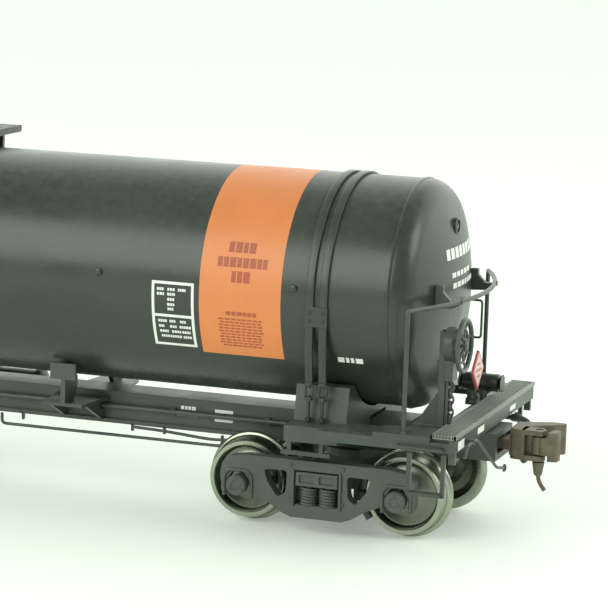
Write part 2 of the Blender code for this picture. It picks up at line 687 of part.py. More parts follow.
def brake_gear_box():
    """Gear housing behind the brake wheel, with the chain rod that hangs from it."""
    x = (15.0 * MM + FIT, 16.4 * MM)
    centre = (0.0, BRAKE_AXIS_Y, BRAKE_AXIS_Z)
    housing = turned(
        [(x[0], 0.0), (x[0], 2.1 * MM), (x[1] - 0.4 * MM, 2.1 * MM), (x[1], 1.6 * MM), (x[1], 0.0)],
        "x",
        centre,
        20,
    )
    lower = block(
        (x[0], x[1] - 0.4 * MM),
        (BRAKE_AXIS_Y - 1.1 * MM, BRAKE_AXIS_Y + 1.1 * MM),
        (BRAKE_AXIS_Z - 4.2 * MM, BRAKE_AXIS_Z),
    )
    rod = drum(
        0.22 * MM,
        "z",
        DECK_TOP + 0.4 * MM + FIT,
        BRAKE_AXIS_Z - 4.0 * MM,
        (15.6 * MM, BRAKE_AXIS_Y, 0.0),
        8,
    )
    bore = drum(BRAKE_SHAFT_RADIUS + 0.12 * MM, "x", x[1] - 0.9 * MM, x[1] + MM, centre, 16)
    place("brake_gear_box", fused(housing, lower, rod, cuts=(bore,)), "frame_black", (TRUCK_HALF, 0.0, 0.0))


def brake_wheel():
    """Hand brake wheel: a round rim, five spokes, a hub and the stub of its shaft."""
    rim = 0.27 * MM
    ring = []
    for angle in np.radians(np.arange(0, 360, 72)):
        ring.append((rim * math.sin(angle), BRAKE_WHEEL_RADIUS - rim + rim * math.cos(angle)))
    shapes = [turned(ring, "x", sides=20)]
    for i in range(5):
        angle = 2 * math.pi * i / 5 + 0.3
        end = (
            0.0, (BRAKE_WHEEL_RADIUS - rim) * math.cos(angle), (BRAKE_WHEEL_RADIUS - rim) * math.sin(angle),
        )
        shapes.append(wire([(0.0, 0.0, 0.0), end], 0.2 * MM, 4))
    shapes.append(drum(0.6 * MM, "x", -0.3 * MM, 0.4 * MM, sides=10))
    shapes.append(drum(BRAKE_SHAFT_RADIUS, "x", -1.3 * MM, 0.0, sides=8))
    place(
        "brake_wheel",
        fused(*shapes),
        "frame_black",
        (TRUCK_HALF + BRAKE_WHEEL_X, BRAKE_AXIS_Y, BRAKE_AXIS_Z),
    )


def air_reservoir():
    radius = 1.1 * MM
    z = RAIL_TOP + 16.05 * MM
    x = (11.6 * MM, 17.0 * MM)
    profile = [
        (x[0], 0.0), (x[0] + 0.15 * MM, 0.7 * MM), (x[0] + 0.5 * MM, radius), (x[1] - 0.5 * MM, radius),
    ]
    profile += [(x[1] - 0.15 * MM, 0.7 * MM), (x[1], 0.0)]
    shell = turned(profile, "x", (0.0, 7.0 * MM, z), 20)
    shapes = [shell]
    for at in (13.0 * MM, 14.6 * MM):
        shapes.append(
            block((at - 0.25 * MM, at + 0.25 * MM), (6.2 * MM, 7.8 * MM), (DECK_TOP + FIT, z - 0.4 * MM)),
        )
    place("air_reservoir", fused(*shapes), "tank_black", (TRUCK_HALF, 0.0, 0.0))


def brake_cylinder():
    """Brake cylinder on the left of the sill, with its push rod."""
    start = 9.0 * MM
    radius = 2.0 * MM
    neck = 1.7 * MM
    rod = 0.3 * MM
    y = SILL_HALF_WIDTH + FIT + radius + 0.3 * MM
    z = RAIL_TOP + 10.6 * MM
    profile = [(0.0, 0.0), (0.0, radius), (0.8 * MM, radius), (0.8 * MM, neck), (6.4 * MM, neck)]
    profile += [
        (6.4 * MM, radius),
        (7.2 * MM, radius),
        (7.6 * MM, 1.2 * MM),
        (7.6 * MM, rod),
        (11 * MM, rod),
        (11 * MM, 0.0),
    ]
    shell = turned([(start + x, r) for x, r in profile], "x", (0.0, y, z), 12)
    pad = block(
        (start + 1.5 * MM, start + 5.5 * MM), (SILL_HALF_WIDTH + FIT, y), (z - 0.6 * MM, z + 0.6 * MM),
    )
    place("brake_cylinder", fused(shell, pad), "frame_black")


def brake_rod():
    z = RAIL_TOP + 6.7 * MM
    y = -2.5 * MM
    corners = [
        (14 * MM, y, SILL_BOTTOM - FIT), (14 * MM, y, z), (44 * MM, y, z), (44 * MM, y, SILL_BOTTOM - FIT),
    ]
    place("brake_rod", wire(rounded(corners, 0.6 * MM), 0.22 * MM), "frame_black")


def train_pipe():
    """Air pipe along the right side of the sill between the bolsters."""
    x = TRUCK_HALF - BOLSTER_HALF_X - FIT
    place("train_pipe", wire([(-x, PIPE_Y, PIPE_Z), (x, PIPE_Y, PIPE_Z)], PIPE_RADIUS, 8), "frame_black")


def air_hoses():
    """Angle cock below the end sill with its hose and coupling hanging from it."""
    z = RAIL_TOP + 11.6 * MM
    y = 8.6 * MM
    pipe = wire([(15.4 * MM, y, z), (18.2 * MM, y, z)], 0.3 * MM)
    cock = block((17.9 * MM, 19.3 * MM), (y - 0.45 * MM, y + 0.45 * MM), (z - 0.45 * MM, z + 0.45 * MM))
    corners = [
        (19.1 * MM, y, z),
        (20.3 * MM, y, z - 0.4 * MM),
        (20.6 * MM, y - 0.5 * MM, z - 3.2 * MM),
        (20.2 * MM, y - 1.4 * MM, z - 4.6 * MM),
    ]
    hose = wire(rounded(corners, 0.8 * MM), 0.36 * MM)
    hand = block((19.9 * MM, 20.5 * MM), (y - 2.2 * MM, y - 1.0 * MM), (z - 5.2 * MM, z - 4.4 * MM))
    both_ends("air_hose", fused(pipe, cock, hose, hand), "frame_black")


def uncoupling_levers():
    """Lever hung on the end sill's face, reaching down beside the coupler."""
    bracket_x = (END_FACE_X + FIT, END_FACE_X + 1.0 * MM)
    z = RAIL_TOP + 12.9 * MM
    x = END_FACE_X + 0.8 * MM
    corners = [
        (x, -16.6 * MM, z - 1.2 * MM), (x, -15.4 * MM, z), (x, -11.5 * MM, z),
        (20.0 * MM, -5.6 * MM, RAIL_TOP + 8.4 * MM), (20.0 * MM, -1.8 * MM, RAIL_TOP + 7.7 * MM),
    ]
    lever = wire(rounded(corners, 0.6 * MM), 0.2 * MM)
    bracket = block(bracket_x, (-13.6 * MM, -12.9 * MM), (z - 0.35 * MM, z + 0.35 * MM))
    both_ends("uncoupling_lever", fused(lever, bracket), "frame_black")


def placards():
    """Square notice plate set on its corner, on a stem from the deck."""
    y = 2.8 * MM
    z = RAIL_TOP + 18.3 * MM
    half = 2.5 * MM
    x = (14.7 * MM, 15.0 * MM)
    diamond = prism([(y, z - half), (y + half, z), (y, z + half), (y - half, z)], "x", *x)
    stem = block(x, (y - 0.3 * MM, y + 0.3 * MM), (DECK_TOP + FIT, z - half + 0.5 * MM))
    foot = block(
        (14.0 * MM, 15.0 * MM), (y - 0.5 * MM, y + 0.5 * MM), (DECK_TOP + FIT, DECK_TOP + FIT + 0.35 * MM),
    )
    both_ends("placard", fused(diamond, stem, foot), "placard_red")


# ---------------------------------------------------------------- couplers


def draft_gear_boxes():
    """Box that holds the coupler's shank: a pocket open to the front, with the pivot post inside."""
    wall = 0.75 * MM
    shell = block((SILL_END_X + FIT, BOX_FRONT_X), (-BOX_HALF_WIDTH, BOX_HALF_WIDTH), (BOX_BOTTOM, BOX_TOP))
    pocket_z = (SHANK_Z[0] - 0.3 * MM, SHANK_Z[1] + 0.3 * MM)
    inside = BOX_HALF_WIDTH - wall
    pocket = block((9.6 * MM, BOX_FRONT_X + MM), (-inside, inside), pocket_z)
    post = drum(
        COUPLER_POST_RADIUS,
        "z",
        pocket_z[0] - 0.3 * MM,
        pocket_z[1] + 0.3 * MM,
        (COUPLER_PIVOT_X, 0, 0),
        16,
    )
    both_ends("draft_gear_box", fused(fused(shell, cuts=(pocket,)), post), "frame_black")


def coupler_mesh():
    """Shank with its eye, and a head with the guard arm on the left and the knuckle ears on the right."""
    pivot = COUPLER_PIVOT_X
    eye = drum(2.0 * MM, "z", *SHANK_Z, sides=14)
    bar = block((0.0, 9.4 * MM), (-1.3 * MM, 1.3 * MM), SHANK_Z)
    horn = 20.6 * MM - pivot
    head = [
        (horn, -2.1 * MM), (22.4 * MM - pivot, -2.5 * MM), (22.6 * MM - pivot, -0.1 * MM),
        (23.6 * MM - pivot, 1.0 * MM),
        (24.9 * MM - pivot, 1.7 * MM), (26.2 * MM - pivot, 2.9 * MM), (26.2 * MM - pivot, 3.5 * MM),
        (24.6 * MM - pivot, 3.6 * MM), (22.4 * MM - pivot, 2.7 * MM), (horn, 2.0 * MM),
    ]
    body = prism(head, "z", *HEAD_Z)
    ear = [(22.0 * MM - pivot, -2.45 * MM), (24.6 * MM - pivot, -2.5 * MM), (24.9 * MM - pivot, -1.4 * MM),
           (24.3 * MM - pivot, -0.4 * MM), (22.0 * MM - pivot, -0.1 * MM)]
    thick = 0.6 * MM
    top = prism(ear, "z", HEAD_Z[1] - thick, HEAD_Z[1])
    bottom = prism(ear, "z", HEAD_Z[0], HEAD_Z[0] + thick)
    place_x = KNUCKLE_PIVOT[0] - pivot
    eye_hole = drum(COUPLER_POST_RADIUS + 0.2 * MM, "z", SHANK_Z[0] - MM, SHANK_Z[1] + MM, sides=12)
    pin_hole = drum(0.55 * MM, "z", HEAD_Z[0] - MM, HEAD_Z[1] + MM, (place_x, KNUCKLE_PIVOT[1], 0), 10)
    return fused(eye, bar, body, top, bottom, cuts=(eye_hole, pin_hole))


def knuckle_mesh():
    """Hooked knuckle on its pin, whose lower end is the bent uncoupling pin."""
    tang_z = (HEAD_Z[0] + 0.8 * MM, HEAD_Z[1] - 0.8 * MM)
    tang = drum(0.95 * MM, "z", *tang_z, sides=12)
    nose = [
        (0.3 * MM, -1.1 * MM), (1.3 * MM, -1.25 * MM), (2.45 * MM, -0.95 * MM), (2.55 * MM, 0.5 * MM),
        (2.1 * MM, 1.05 * MM), (1.5 * MM, 0.75 * MM), (1.35 * MM, 0.2 * MM), (0.4 * MM, 0.75 * MM),
    ]
    hook = prism(nose, "z", *tang_z)
    lip = [
        (1.25 * MM, -1.2 * MM),
        (2.45 * MM, -0.95 * MM),
        (2.55 * MM, 0.5 * MM),
        (2.1 * MM, 1.05 * MM),
        (1.5 * MM, 0.75 * MM),
    ]
    face = prism(lip, "z", HEAD_Z[0] + 0.1 * MM, HEAD_Z[1] - 0.1 * MM)
    pin = drum(0.4 * MM, "z", HEAD_Z[0] - 0.3 * MM, HEAD_Z[1] - 0.2 * MM, sides=8)
    boss = turned(
        [
            (HEAD_Z[0] - 1.9 * MM, 0.0),
            (HEAD_Z[0] - 1.9 * MM, 0.5 * MM),
            (HEAD_Z[0] - FIT, 0.75 * MM),
            (HEAD_Z[0] - FIT, 0.0),
        ],
        "z",
        sides=8,
    )
    corners = [
        (0.0, 0.0, HEAD_Z[0] - 1.5 * MM),
        (0.1 * MM, 0.0, HEAD_Z[0] - 2.6 * MM),
        (0.9 * MM, 0.0, HEAD_Z[0] - 3.7 * MM),
    ]
    tail = wire(rounded(corners, 0.6 * MM), 0.3 * MM)
    return fused(tang, hook, face, pin, boss, tail)


def couplers():
    coupler = coupler_mesh()
    knuckle = knuckle_mesh()
    for letter, x, turn in ENDS:
        sign = math.cos(turn)
        place(f"coupler_{letter}", coupler, "coupler_brown", (x + sign * COUPLER_PIVOT_X, 0.0, 0.0), turn)
        at = (x + sign * KNUCKLE_PIVOT[0], sign * KNUCKLE_PIVOT[1], 0.0)
        place(f"knuckle_{letter}", knuckle, "coupler_brown", at, turn)


# ---------------------------------------------------------------- trucks


def side_frame_mesh():
    """Cast side frame with its window, spring group, bearing caps and blind holes for the axle ends."""
    half = [
        (9.2, 8.5), (11.2, 8.1), (12.1, 7.0), (12.1, 4.0), (11.5, 3.4), (8.6, 3.4), (8.2, 4.2),
        (6.3, 3.2), (4.2, 2.0), (3.2, 1.5),
    ]
    outline = [(x * MM, RAIL_TOP + z * MM) for x, z in half]
    outline += [(-x, z) for x, z in reversed(outline)]
    body = prism(outline, "y", *FRAME_Y)
    through = (FRAME_Y[0] - MM, FRAME_Y[1] + MM)
    window = block((-2.8 * MM, 2.8 * MM), through, (RAIL_TOP + 3.0 * MM, RAIL_TOP + 7.35 * MM))
    gap = [(3.7, 7.1), (6.6, 7.0), (6.1, 5.4), (4.8, 3.8), (3.8, 4.6)]
    cuts = [window]
    for side in (-1, 1):
        cuts.append(prism([(side * x * MM, RAIL_TOP + z * MM) for x, z in gap], "y", *through))
    axle_x = WHEELBASE / 2
    for x in (-axle_x, axle_x):
        reach = JOURNAL_END_Y + FIT
        cuts.append(drum(JOURNAL_RADIUS + 0.2 * MM, "y", FRAME_Y[0] - MM, reach, (x, 0, AXLE_Z), 10))
    frame = fused(body, cuts=cuts)
    shapes = []
    for x in (-axle_x, axle_x):
        shapes.append(
            drum(1.25 * MM, "y", FRAME_Y[1] - 0.2 * MM, FRAME_Y[1] + 0.9 * MM, (x, 0, AXLE_Z), 12),
        )
    spring_y = sum(FRAME_Y) / 2
    for x in (-1.1 * MM, 1.1 * MM):
        shapes.append(drum(0.8 * MM, "z", RAIL_TOP + 2.8 * MM, RAIL_TOP + 5.25 * MM, (x, spring_y, 0), 8))
    return fused(frame, *shapes)


def truck_bolster_mesh():
    """Truck bolster with its centre bowl and the brake beams that it carries."""
    z = TRUCK_BOLSTER_Z
    beam = block((-2.3 * MM, 2.3 * MM), (-12.9 * MM, 12.9 * MM), z)
    bowl = drum(3.0 * MM, "z", z[1] - 0.2 * MM, SILL_BOTTOM - 0.3 * MM, sides=14)
    shapes = [beam, bowl]
    axle_x = WHEELBASE / 2
    shoe_inner = TREAD_RADIUS + FIT
    shoe_outer = shoe_inner + 0.7 * MM
    angles = np.radians(np.linspace(182.0, 218.0, 4))
    shoe = [(axle_x + shoe_inner * math.cos(a), AXLE_Z + shoe_inner * math.sin(a)) for a in angles]
    shoe += [
        (axle_x + shoe_outer * math.cos(a), AXLE_Z + shoe_outer * math.sin(a)) for a in reversed(angles)
    ]
    for end in (-1, 1):
        beam_x = sorted((end * 3.75 * MM, end * 4.3 * MM))
        beam_z = (RAIL_TOP + 3.6 * MM, RAIL_TOP + 4.3 * MM)
        shapes.append(block(beam_x, (-9.0 * MM, 9.0 * MM), beam_z))
        for side in (-1, 1):
            arm_x = sorted((end * 1.6 * MM, end * 4.1 * MM))
            arm_y = (side * 4.5 * MM - 0.4 * MM, side * 4.5 * MM + 0.4 * MM)
            shapes.append(block(arm_x, arm_y, (RAIL_TOP + 3.7 * MM, z[0] + 0.2 * MM)))
            shoe_y = sorted((side * 8.35 * MM, side * 9.8 * MM))
            shapes.append(prism([(end * x, level) for x, level in shoe], "y", *shoe_y))
    pin_hole = drum(KINGPIN_RADIUS + 0.25 * MM, "z", z[0] - 3 * MM, z[1] + 3 * MM, sides=12)
    return fused(*shapes, cuts=(pin_hole,))


def wheelset_mesh():
    """Axle with both wheels pressed on: dished discs with a coned tread and a flange at the back."""
    back = BACK_TO_BACK / 2
    face = back + WHEEL_WIDTH
    flange = TREAD_RADIUS + FLANGE_DEPTH
    rim = 4.1 * MM
    hub = 1.7 * MM
    half = [
        (back, AXLE_RADIUS), (back, flange), (back + 0.5 * MM, flange),
        (back + FLANGE_WIDTH, TREAD_RADIUS + 0.08 * MM),
        (face, TREAD_RADIUS - 0.08 * MM), (face, rim), (face - 1.0 * MM, rim - 0.3 * MM),
        (face - 0.3 * MM, hub),
        (face - 0.3 * MM, JOURNAL_RADIUS), (JOURNAL_END_Y, JOURNAL_RADIUS), (JOURNAL_END_Y, 0.0),
    ]
    profile = [(-y, radius) for y, radius in reversed(half)] + half
    return turned(profile, "y", sides=20)


def kingpin_mesh():
    """Screw that holds the truck to the sill."""
    head_z = (TRUCK_BOLSTER_Z[0] - FIT - 0.9 * MM, TRUCK_BOLSTER_Z[0] - FIT)
    profile = [(head_z[0], 0.0), (head_z[0], 1.5 * MM), (head_z[1], 1.8 * MM), (head_z[1], KINGPIN_RADIUS)]
    profile += [(SILL_BOTTOM + 2.3 * MM, KINGPIN_RADIUS), (SILL_BOTTOM + 2.3 * MM, 0.0)]
    slot = block((-2 * MM, 2 * MM), (-0.2 * MM, 0.2 * MM), (head_z[0] - MM, head_z[0] + 0.35 * MM))
    return fused(turned(profile, "z", sides=16), cuts=(slot,))


def trucks():
    bolster = truck_bolster_mesh()
    left = side_frame_mesh()
    right = mirrored(left)
    wheelset = wheelset_mesh()
    screw = kingpin_mesh()
    for letter, x, turn in ENDS:
        pivot = bpy.data.objects.new(f"truck_pivot_{letter}", None)
        bpy.context.scene.collection.objects.link(pivot)
        pivot.location = (x, 0.0, 0.0)
        pivot.rotation_euler = (0.0, 0.0, turn)
        place(f"truck_bolster_{letter}", bolster, "truck_black", parent=pivot)
        place(f"side_frame_{letter}_left", left, "truck_black", parent=pivot)
        place(f"side_frame_{letter}_right", right, "truck_black", parent=pivot)
        for position, along in (("outer", WHEELBASE / 2), ("inner", -WHEELBASE / 2)):
            place(
                f"wheelset_{letter}_{position}", wheelset, "wheel_steel", (along, 0.0, AXLE_Z), parent=pivot
            )
        place(f"kingpin_screw_{letter}", screw, "zinc_steel", (x, 0.0, 0.0))


def main():
    clear_scene()
    tank_barrel()
    tank_heads()
    ballast_bar()
    tank_straps()
    manway()
    top_platform()
    ladders()
    bottom_outlet()
    center_sill()
    bolster_saddles()
    end_frames()
    end_gratings()
    sill_steps()
    handrails()
    brake_stand()
    brake_gear_box()
    brake_wheel()
    air_reservoir()
    brake_cylinder()
    brake_rod()
    train_pipe()
    air_hoses()
    uncoupling_levers()
    placards()
    draft_gear_boxes()
    couplers()
    trucks()


main()
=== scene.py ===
"""Model tank wagon: fine pieces, finishes, floor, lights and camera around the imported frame.

Every piece is in metres in the wagon's own frame: +X towards the hand brake end, +Y to the
left of that direction, +Z up, with the origin on the ground under the middle of the wagon.
Pieces of one end are drawn once in that end's own frame, whose origin is under the truck's
centre pin and whose +X points outward, then set at each end.
"""

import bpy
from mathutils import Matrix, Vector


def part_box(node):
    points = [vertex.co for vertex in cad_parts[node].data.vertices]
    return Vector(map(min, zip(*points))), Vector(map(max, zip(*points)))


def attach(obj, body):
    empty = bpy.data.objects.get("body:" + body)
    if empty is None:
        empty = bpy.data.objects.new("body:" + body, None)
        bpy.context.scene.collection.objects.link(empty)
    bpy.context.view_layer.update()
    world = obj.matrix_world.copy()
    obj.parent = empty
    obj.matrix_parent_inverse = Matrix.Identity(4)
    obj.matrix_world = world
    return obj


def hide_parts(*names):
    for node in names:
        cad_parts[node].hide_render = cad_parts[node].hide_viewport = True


bl_info = {
    "name": "Model Tank Wagon",
    "version": (1, 0, 0),
    "blender": (4, 5, 0),
    "location": "3D View > Sidebar > Tank Wagon",
    "description": "Builds the fine pieces, finishes and setting of a 1:87 tank wagon around its frame",
    "category": "Add Mesh",
}

import functools
import math

import bmesh
import bpy
import numpy as np
from bpy.props import FloatProperty, FloatVectorProperty, IntProperty, PointerProperty
from mathutils import Matrix, Vector
from mathutils.geometry import tessellate_polygon

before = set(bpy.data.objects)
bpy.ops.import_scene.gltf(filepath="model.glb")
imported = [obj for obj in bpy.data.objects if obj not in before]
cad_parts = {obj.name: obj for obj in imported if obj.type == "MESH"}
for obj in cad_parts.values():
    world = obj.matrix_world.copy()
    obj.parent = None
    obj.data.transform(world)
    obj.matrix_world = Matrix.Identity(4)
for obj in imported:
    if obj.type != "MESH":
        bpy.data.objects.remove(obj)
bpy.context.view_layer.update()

MM = 0.001
TANK_LOW, TANK_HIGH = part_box("tank_barrel")
TANK_R = (TANK_HIGH.y - TANK_LOW.y) / 2
TANK_Z = (TANK_HIGH.z + TANK_LOW.z) / 2
TANK_HALF = TANK_HIGH.x
HEAD_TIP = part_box("tank_head_b")[1].x
HEAD_KNUCKLE = 3.0 * MM
HEAD_SEAM = TANK_HALF + 0.02 * MM
HEAD_FLAT = TANK_R - HEAD_KNUCKLE
HEAD_CROWN = (
    HEAD_FLAT**2 + (HEAD_TIP - HEAD_SEAM) ** 2 - HEAD_KNUCKLE**2
) / (2 * (HEAD_TIP - HEAD_SEAM - HEAD_KNUCKLE))
AXLE_LOW, AXLE_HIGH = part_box("wheelset_b_outer")
FLANGE_R = (AXLE_HIGH.x - AXLE_LOW.x) / 2
AXLE_Z = FLANGE_R
TREAD_R = 4.81 * MM
RAIL = FLANGE_R - TREAD_R
TRUCK_X = (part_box("truck_bolster_b")[0].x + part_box("truck_bolster_b")[1].x) / 2
HALF_BASE = (AXLE_LOW.x + AXLE_HIGH.x) / 2 - TRUCK_X
SILL_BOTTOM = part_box("center_sill")[0].z
SEAM_GAP = 0.0002 * MM  # points nearer than this are one point
SHARP_ANGLE = math.radians(34)
WEB_Y = 2.4 * MM  # half the sill's width
END_FACE = 18.2 * MM  # outer face of the end sill, from the truck's centre pin


def mm(*lengths):
    """Several lengths in millimetres, as metres."""
    return tuple(length * MM for length in lengths)


def around(middle, reach):
    """The span that many millimetres to each side of a place."""
    return (middle - reach * MM, middle + reach * MM)


def above_rail(height):
    """The level that many millimetres above the rail's top."""
    return RAIL + height * MM


DECK = above_rail(14.0)


# ------------------------------------------------------------------ shapes
# A shape is (points as an n x 3 array, list of faces).


def grid(points, wrap_rows=False, wrap_columns=False, caps=(False, False)):
    """Quads between neighbours on a rows x columns grid of points. A cap closes the first or last ring."""
    rows, columns = points.shape[:2]
    index = np.arange(rows * columns).reshape(rows, columns)
    near = index if wrap_rows else index[:-1]
    far = np.roll(index, -1, 0) if wrap_rows else index[1:]
    if wrap_columns:
        near_next, far_next = np.roll(near, -1, 1), np.roll(far, -1, 1)
    else:
        near, near_next = near[:, :-1], near[:, 1:]
        far, far_next = far[:, :-1], far[:, 1:]
    faces = np.stack([near, far, far_next, near_next], -1).reshape(-1, 4).tolist()
    if caps[0]:
        faces.append(index[0][::-1].tolist())
    if caps[1]:
        faces.append(index[-1].tolist())
    return points.reshape(-1, 3), faces


def unit(vectors):
    """Each vector divided by its length."""
    vectors = np.asarray(vectors, float)
    return vectors / np.linalg.norm(vectors, axis=-1, keepdims=True)


def carried(section, path, across, up, closed=False):
    """A flat section of (u, v) carried along a path: point = path + u across + v up."""
    path = np.asarray(path, float)
    across = np.broadcast_to(np.asarray(across, float), path.shape)
    up = np.broadcast_to(np.asarray(up, float), path.shape)
    section = np.asarray(section, float)
    points = path[:, None] + section[None, :, :1] * across[:, None] + section[None, :, 1:] * up[:, None]
    return grid(points, wrap_rows=closed, wrap_columns=True, caps=(not closed, not closed))


def ring(radius, sides=12, squash=1.0):
    """(u, v) = radius (cos a, squash sin a) for a once round."""
    angle = np.linspace(0, 2 * math.pi, sides, endpoint=False)
    return np.stack([radius * np.cos(angle), squash * radius * np.sin(angle)], -1)


def tube(path, radius, normal, sides=12, closed=False):
    """A round bar along a path, its section square to the path. The path never runs along normal."""
    path = np.asarray(path, float)
    if closed:
        run = np.roll(path, -1, 0) - np.roll(path, 1, 0)
    else:
        run = np.gradient(path, axis=0)
    run = unit(run)
    across = unit(np.cross(np.asarray(normal, float), run))
    return carried(ring(radius, sides), path, across, np.cross(run, across), closed)


def bent(corners, bend, steps=5, closed=False):
    """A path whose corners are rounded by (1-t)^2 start + 2t(1-t) corner + t^2 end, start and end a bend off."""
    corners = np.asarray(corners, float)
    if closed:
        before, here, after = np.roll(corners, 1, 0), corners, np.roll(corners, -1, 0)
    else:
        before, here, after = corners[:-2], corners[1:-1], corners[2:]
    start = (here + unit(before - here) * bend)[:, None]
    end = (here + unit(after - here) * bend)[:, None]
    t = np.linspace(0, 1, steps + 1)[None, :, None]
    curve = (1 - t) ** 2 * start + 2 * t * (1 - t) * here[:, None] + t**2 * end
    curve = curve.reshape(-1, corners.shape[1])
    if closed:
        return curve
    return np.vstack([corners[:1], curve, corners[-1:]])


def rounded_bar(width, height, bend, steps=3):
    """A rectangle section with rounded corners."""
    u, v = width / 2, height / 2
    return bent([(-u, -v), (u, -v), (u, v), (-u, v)], bend, steps, closed=True)


def turned(profile, axis="x", centre=(0, 0, 0), steps=64, loop=False):
    """A profile of (station, radius) turned about an axis: radius (cos a, sin a) across it, station along it."""
    profile = np.asarray(profile, float)
    angle = np.linspace(0, 2 * math.pi, steps, endpoint=False)[:, None]
    along = "xyz".index(axis)
    across = [i for i in range(3) if i != along]
    points = np.zeros((steps, len(profile), 3))
    points[..., along] = profile[None, :, 0]
    points[..., across[0]] = profile[None, :, 1] * np.cos(angle)
    points[..., across[1]] = profile[None, :, 1] * np.sin(angle)
    return grid(points + np.asarray(centre, float), wrap_rows=True, wrap_columns=loop)


def plate(outline, low, high, axis="y", holes=()):
    """A flat outline with holes, between two levels on an axis. The outline is in the other two axes."""
    along = "xyz".index(axis)
    across = [i for i in range(3) if i != along]
    loops = [np.asarray(loop, float) for loop in (outline, *holes)]
    shapes = []
    for loop in loops:
        wall = np.zeros((2, len(loop), 3))
        wall[..., across] = loop
        wall[0, :, along] = low
        wall[1, :, along] = high
        shapes.append(grid(wall, wrap_columns=True))
    flat = np.vstack(loops)
    triangles = tessellate_polygon([[Vector((u, v, 0.0)) for u, v in loop] for loop in loops])
    for level in (low, high):
        cap = np.zeros((len(flat), 3))
        cap[:, across] = flat
        cap[:, along] = level
        shapes.append((cap, [list(three) for three in triangles]))
    return joined(*shapes)


def block(x, y, z):
    """A box from its (low, high) pair on each axis."""
    return plate([(x[0], y[0]), (x[1], y[0]), (x[1], y[1]), (x[0], y[1])], *z, axis="z")


def joined(*shapes):
    """Several shapes as one list of points and faces."""
    points, faces, count = [], [], 0
    for shape_points, shape_faces in shapes:
        points.append(np.asarray(shape_points, float))
        faces.extend([[i + count for i in face] for face in shape_faces])
        count += len(shape_points)
    return np.vstack(points), faces


def shifted(shape, offset):
    """The shape moved by an offset."""
    return shape[0] + np.asarray(offset, float), shape[1]


def scaled(shape, factors):
    """The shape with each coordinate multiplied, such as by -1 to make the other hand."""
    return shape[0] * np.asarray(factors, float), shape[1]


def both_hands(shape):
    """The shape and its mirror image across the wagon's middle plane."""
    return joined(shape, scaled(shape, (1, -1, 1)))


def at_end(shape, letter):
    """A shape from an end's own frame, set at that end: turned half round at end a."""
    sign = 1 if letter == "b" else -1
    return shape[0] * (sign, sign, 1) + (sign * TRUCK_X, 0, 0), shape[1]


def stud(centre, axis, radius, height, steps=12):
    """A low domed fastener head: radius cos t out and height sin t up, for t to a quarter turn."""
    t = np.linspace(0, math.pi / 2, 5)
    profile = np.stack([height * (0.35 + 0.65 * np.sin(t)), radius * np.cos(t)], -1)
    profile = np.vstack([[0, 0], [0, radius], profile])
    return turned(profile * (1 if axis[0] != "-" else -1, 1), axis[-1], centre, steps)


def coil(centre, radius, wire, turns, height):
    """A coil spring: a helix of radius about the vertical through centre, as a round wire."""
    t = np.linspace(0, 1, int(turns * 16) + 1)
    angle = 2 * math.pi * turns * t
    path = np.stack(
        [radius * np.cos(angle), radius * np.sin(angle), height * t], -1
    ) + np.asarray(centre, float)
    out = np.stack([np.cos(angle), np.sin(angle), 0 * t], -1)
    run = unit(np.gradient(path, axis=0))
    return carried(ring(wire, 6), path, out, np.cross(run, out))


def print_patch(surface, u, v, lift, steps=(2, 2)):
    """A closed film of print, from lift to twice lift off a surface(u, v) that gives points and normals."""
    uu, vv = np.meshgrid(np.linspace(*u, steps[0]), np.linspace(*v, steps[1]), indexing="ij")
    points, normals = surface(uu, vv)
    top, low = points + 2 * lift * normals, points + lift * normals
    edge = [top, low]
    shapes = [grid(top), grid(low)]
    for pick in ((0, slice(None)), (-1, slice(None)), (slice(None), 0), (slice(None), -1)):
        shapes.append(grid(np.stack([side[pick] for side in edge])))
    return joined(*shapes)


# ------------------------------------------------------------------ finishes


def node(tree, kind, x, y, **values):
    """A node at a place in the tree, with input values by socket name or number."""
    made = tree.nodes.new(kind)
    made.location = (x, y)
    for key, value in values.items():
        if key.startswith("in_"):
            made.inputs[int(key[3:])].default_value = value
        elif hasattr(made, key):
            setattr(made, key, value)
    return made


def new_group(name, inputs, outputs):
    """An empty shader node group with those sockets, and its input and output nodes."""
    tree = bpy.data.node_groups.new(name, "ShaderNodeTree")
    for label, kind, value in inputs:
        socket = tree.interface.new_socket(label, in_out="INPUT", socket_type=kind)
        if value is not None:
            socket.default_value = value
    for label, kind in outputs:
        tree.interface.new_socket(label, in_out="OUTPUT", socket_type=kind)
    return tree, node(tree, "NodeGroupInput", -900, 0), node(tree, "NodeGroupOutput", 600, 0)


def spray_grain_group():
    """Fine spray texture and broad cloudiness of a sprayed or moulded surface."""
    tree, enter, leave = new_group(
        "spray grain",
        [
            ("Vector", "NodeSocketVector", None), ("Fine", "NodeSocketFloat", 6000.0),
            ("Broad", "NodeSocketFloat", 140.0)
        ],
        [("Grain", "NodeSocketFloat"), ("Cloud", "NodeSocketFloat")],
    )
    fine = node(tree, "ShaderNodeTexNoise", -600, 150)
    fine.inputs["Detail"].default_value = 3.0
    fine.inputs["Roughness"].default_value = 0.6
    broad = node(tree, "ShaderNodeTexNoise", -600, -150)
    broad.inputs["Detail"].default_value = 4.0
    broad.inputs["Roughness"].default_value = 0.55
    for noise, scale, out in ((fine, "Fine", "Grain"), (broad, "Broad", "Cloud")):
        tree.links.new(enter.outputs["Vector"], noise.inputs["Vector"])
        tree.links.new(enter.outputs[scale], noise.inputs["Scale"])
        spread = node(tree, "ShaderNodeMapRange", -300, 150 if out == "Grain" else -150, in_1=0.3, in_2=0.7)
        tree.links.new(noise.outputs["Fac"], spread.inputs["Value"])
        tree.links.new(spread.outputs["Result"], leave.inputs[out])
    return tree


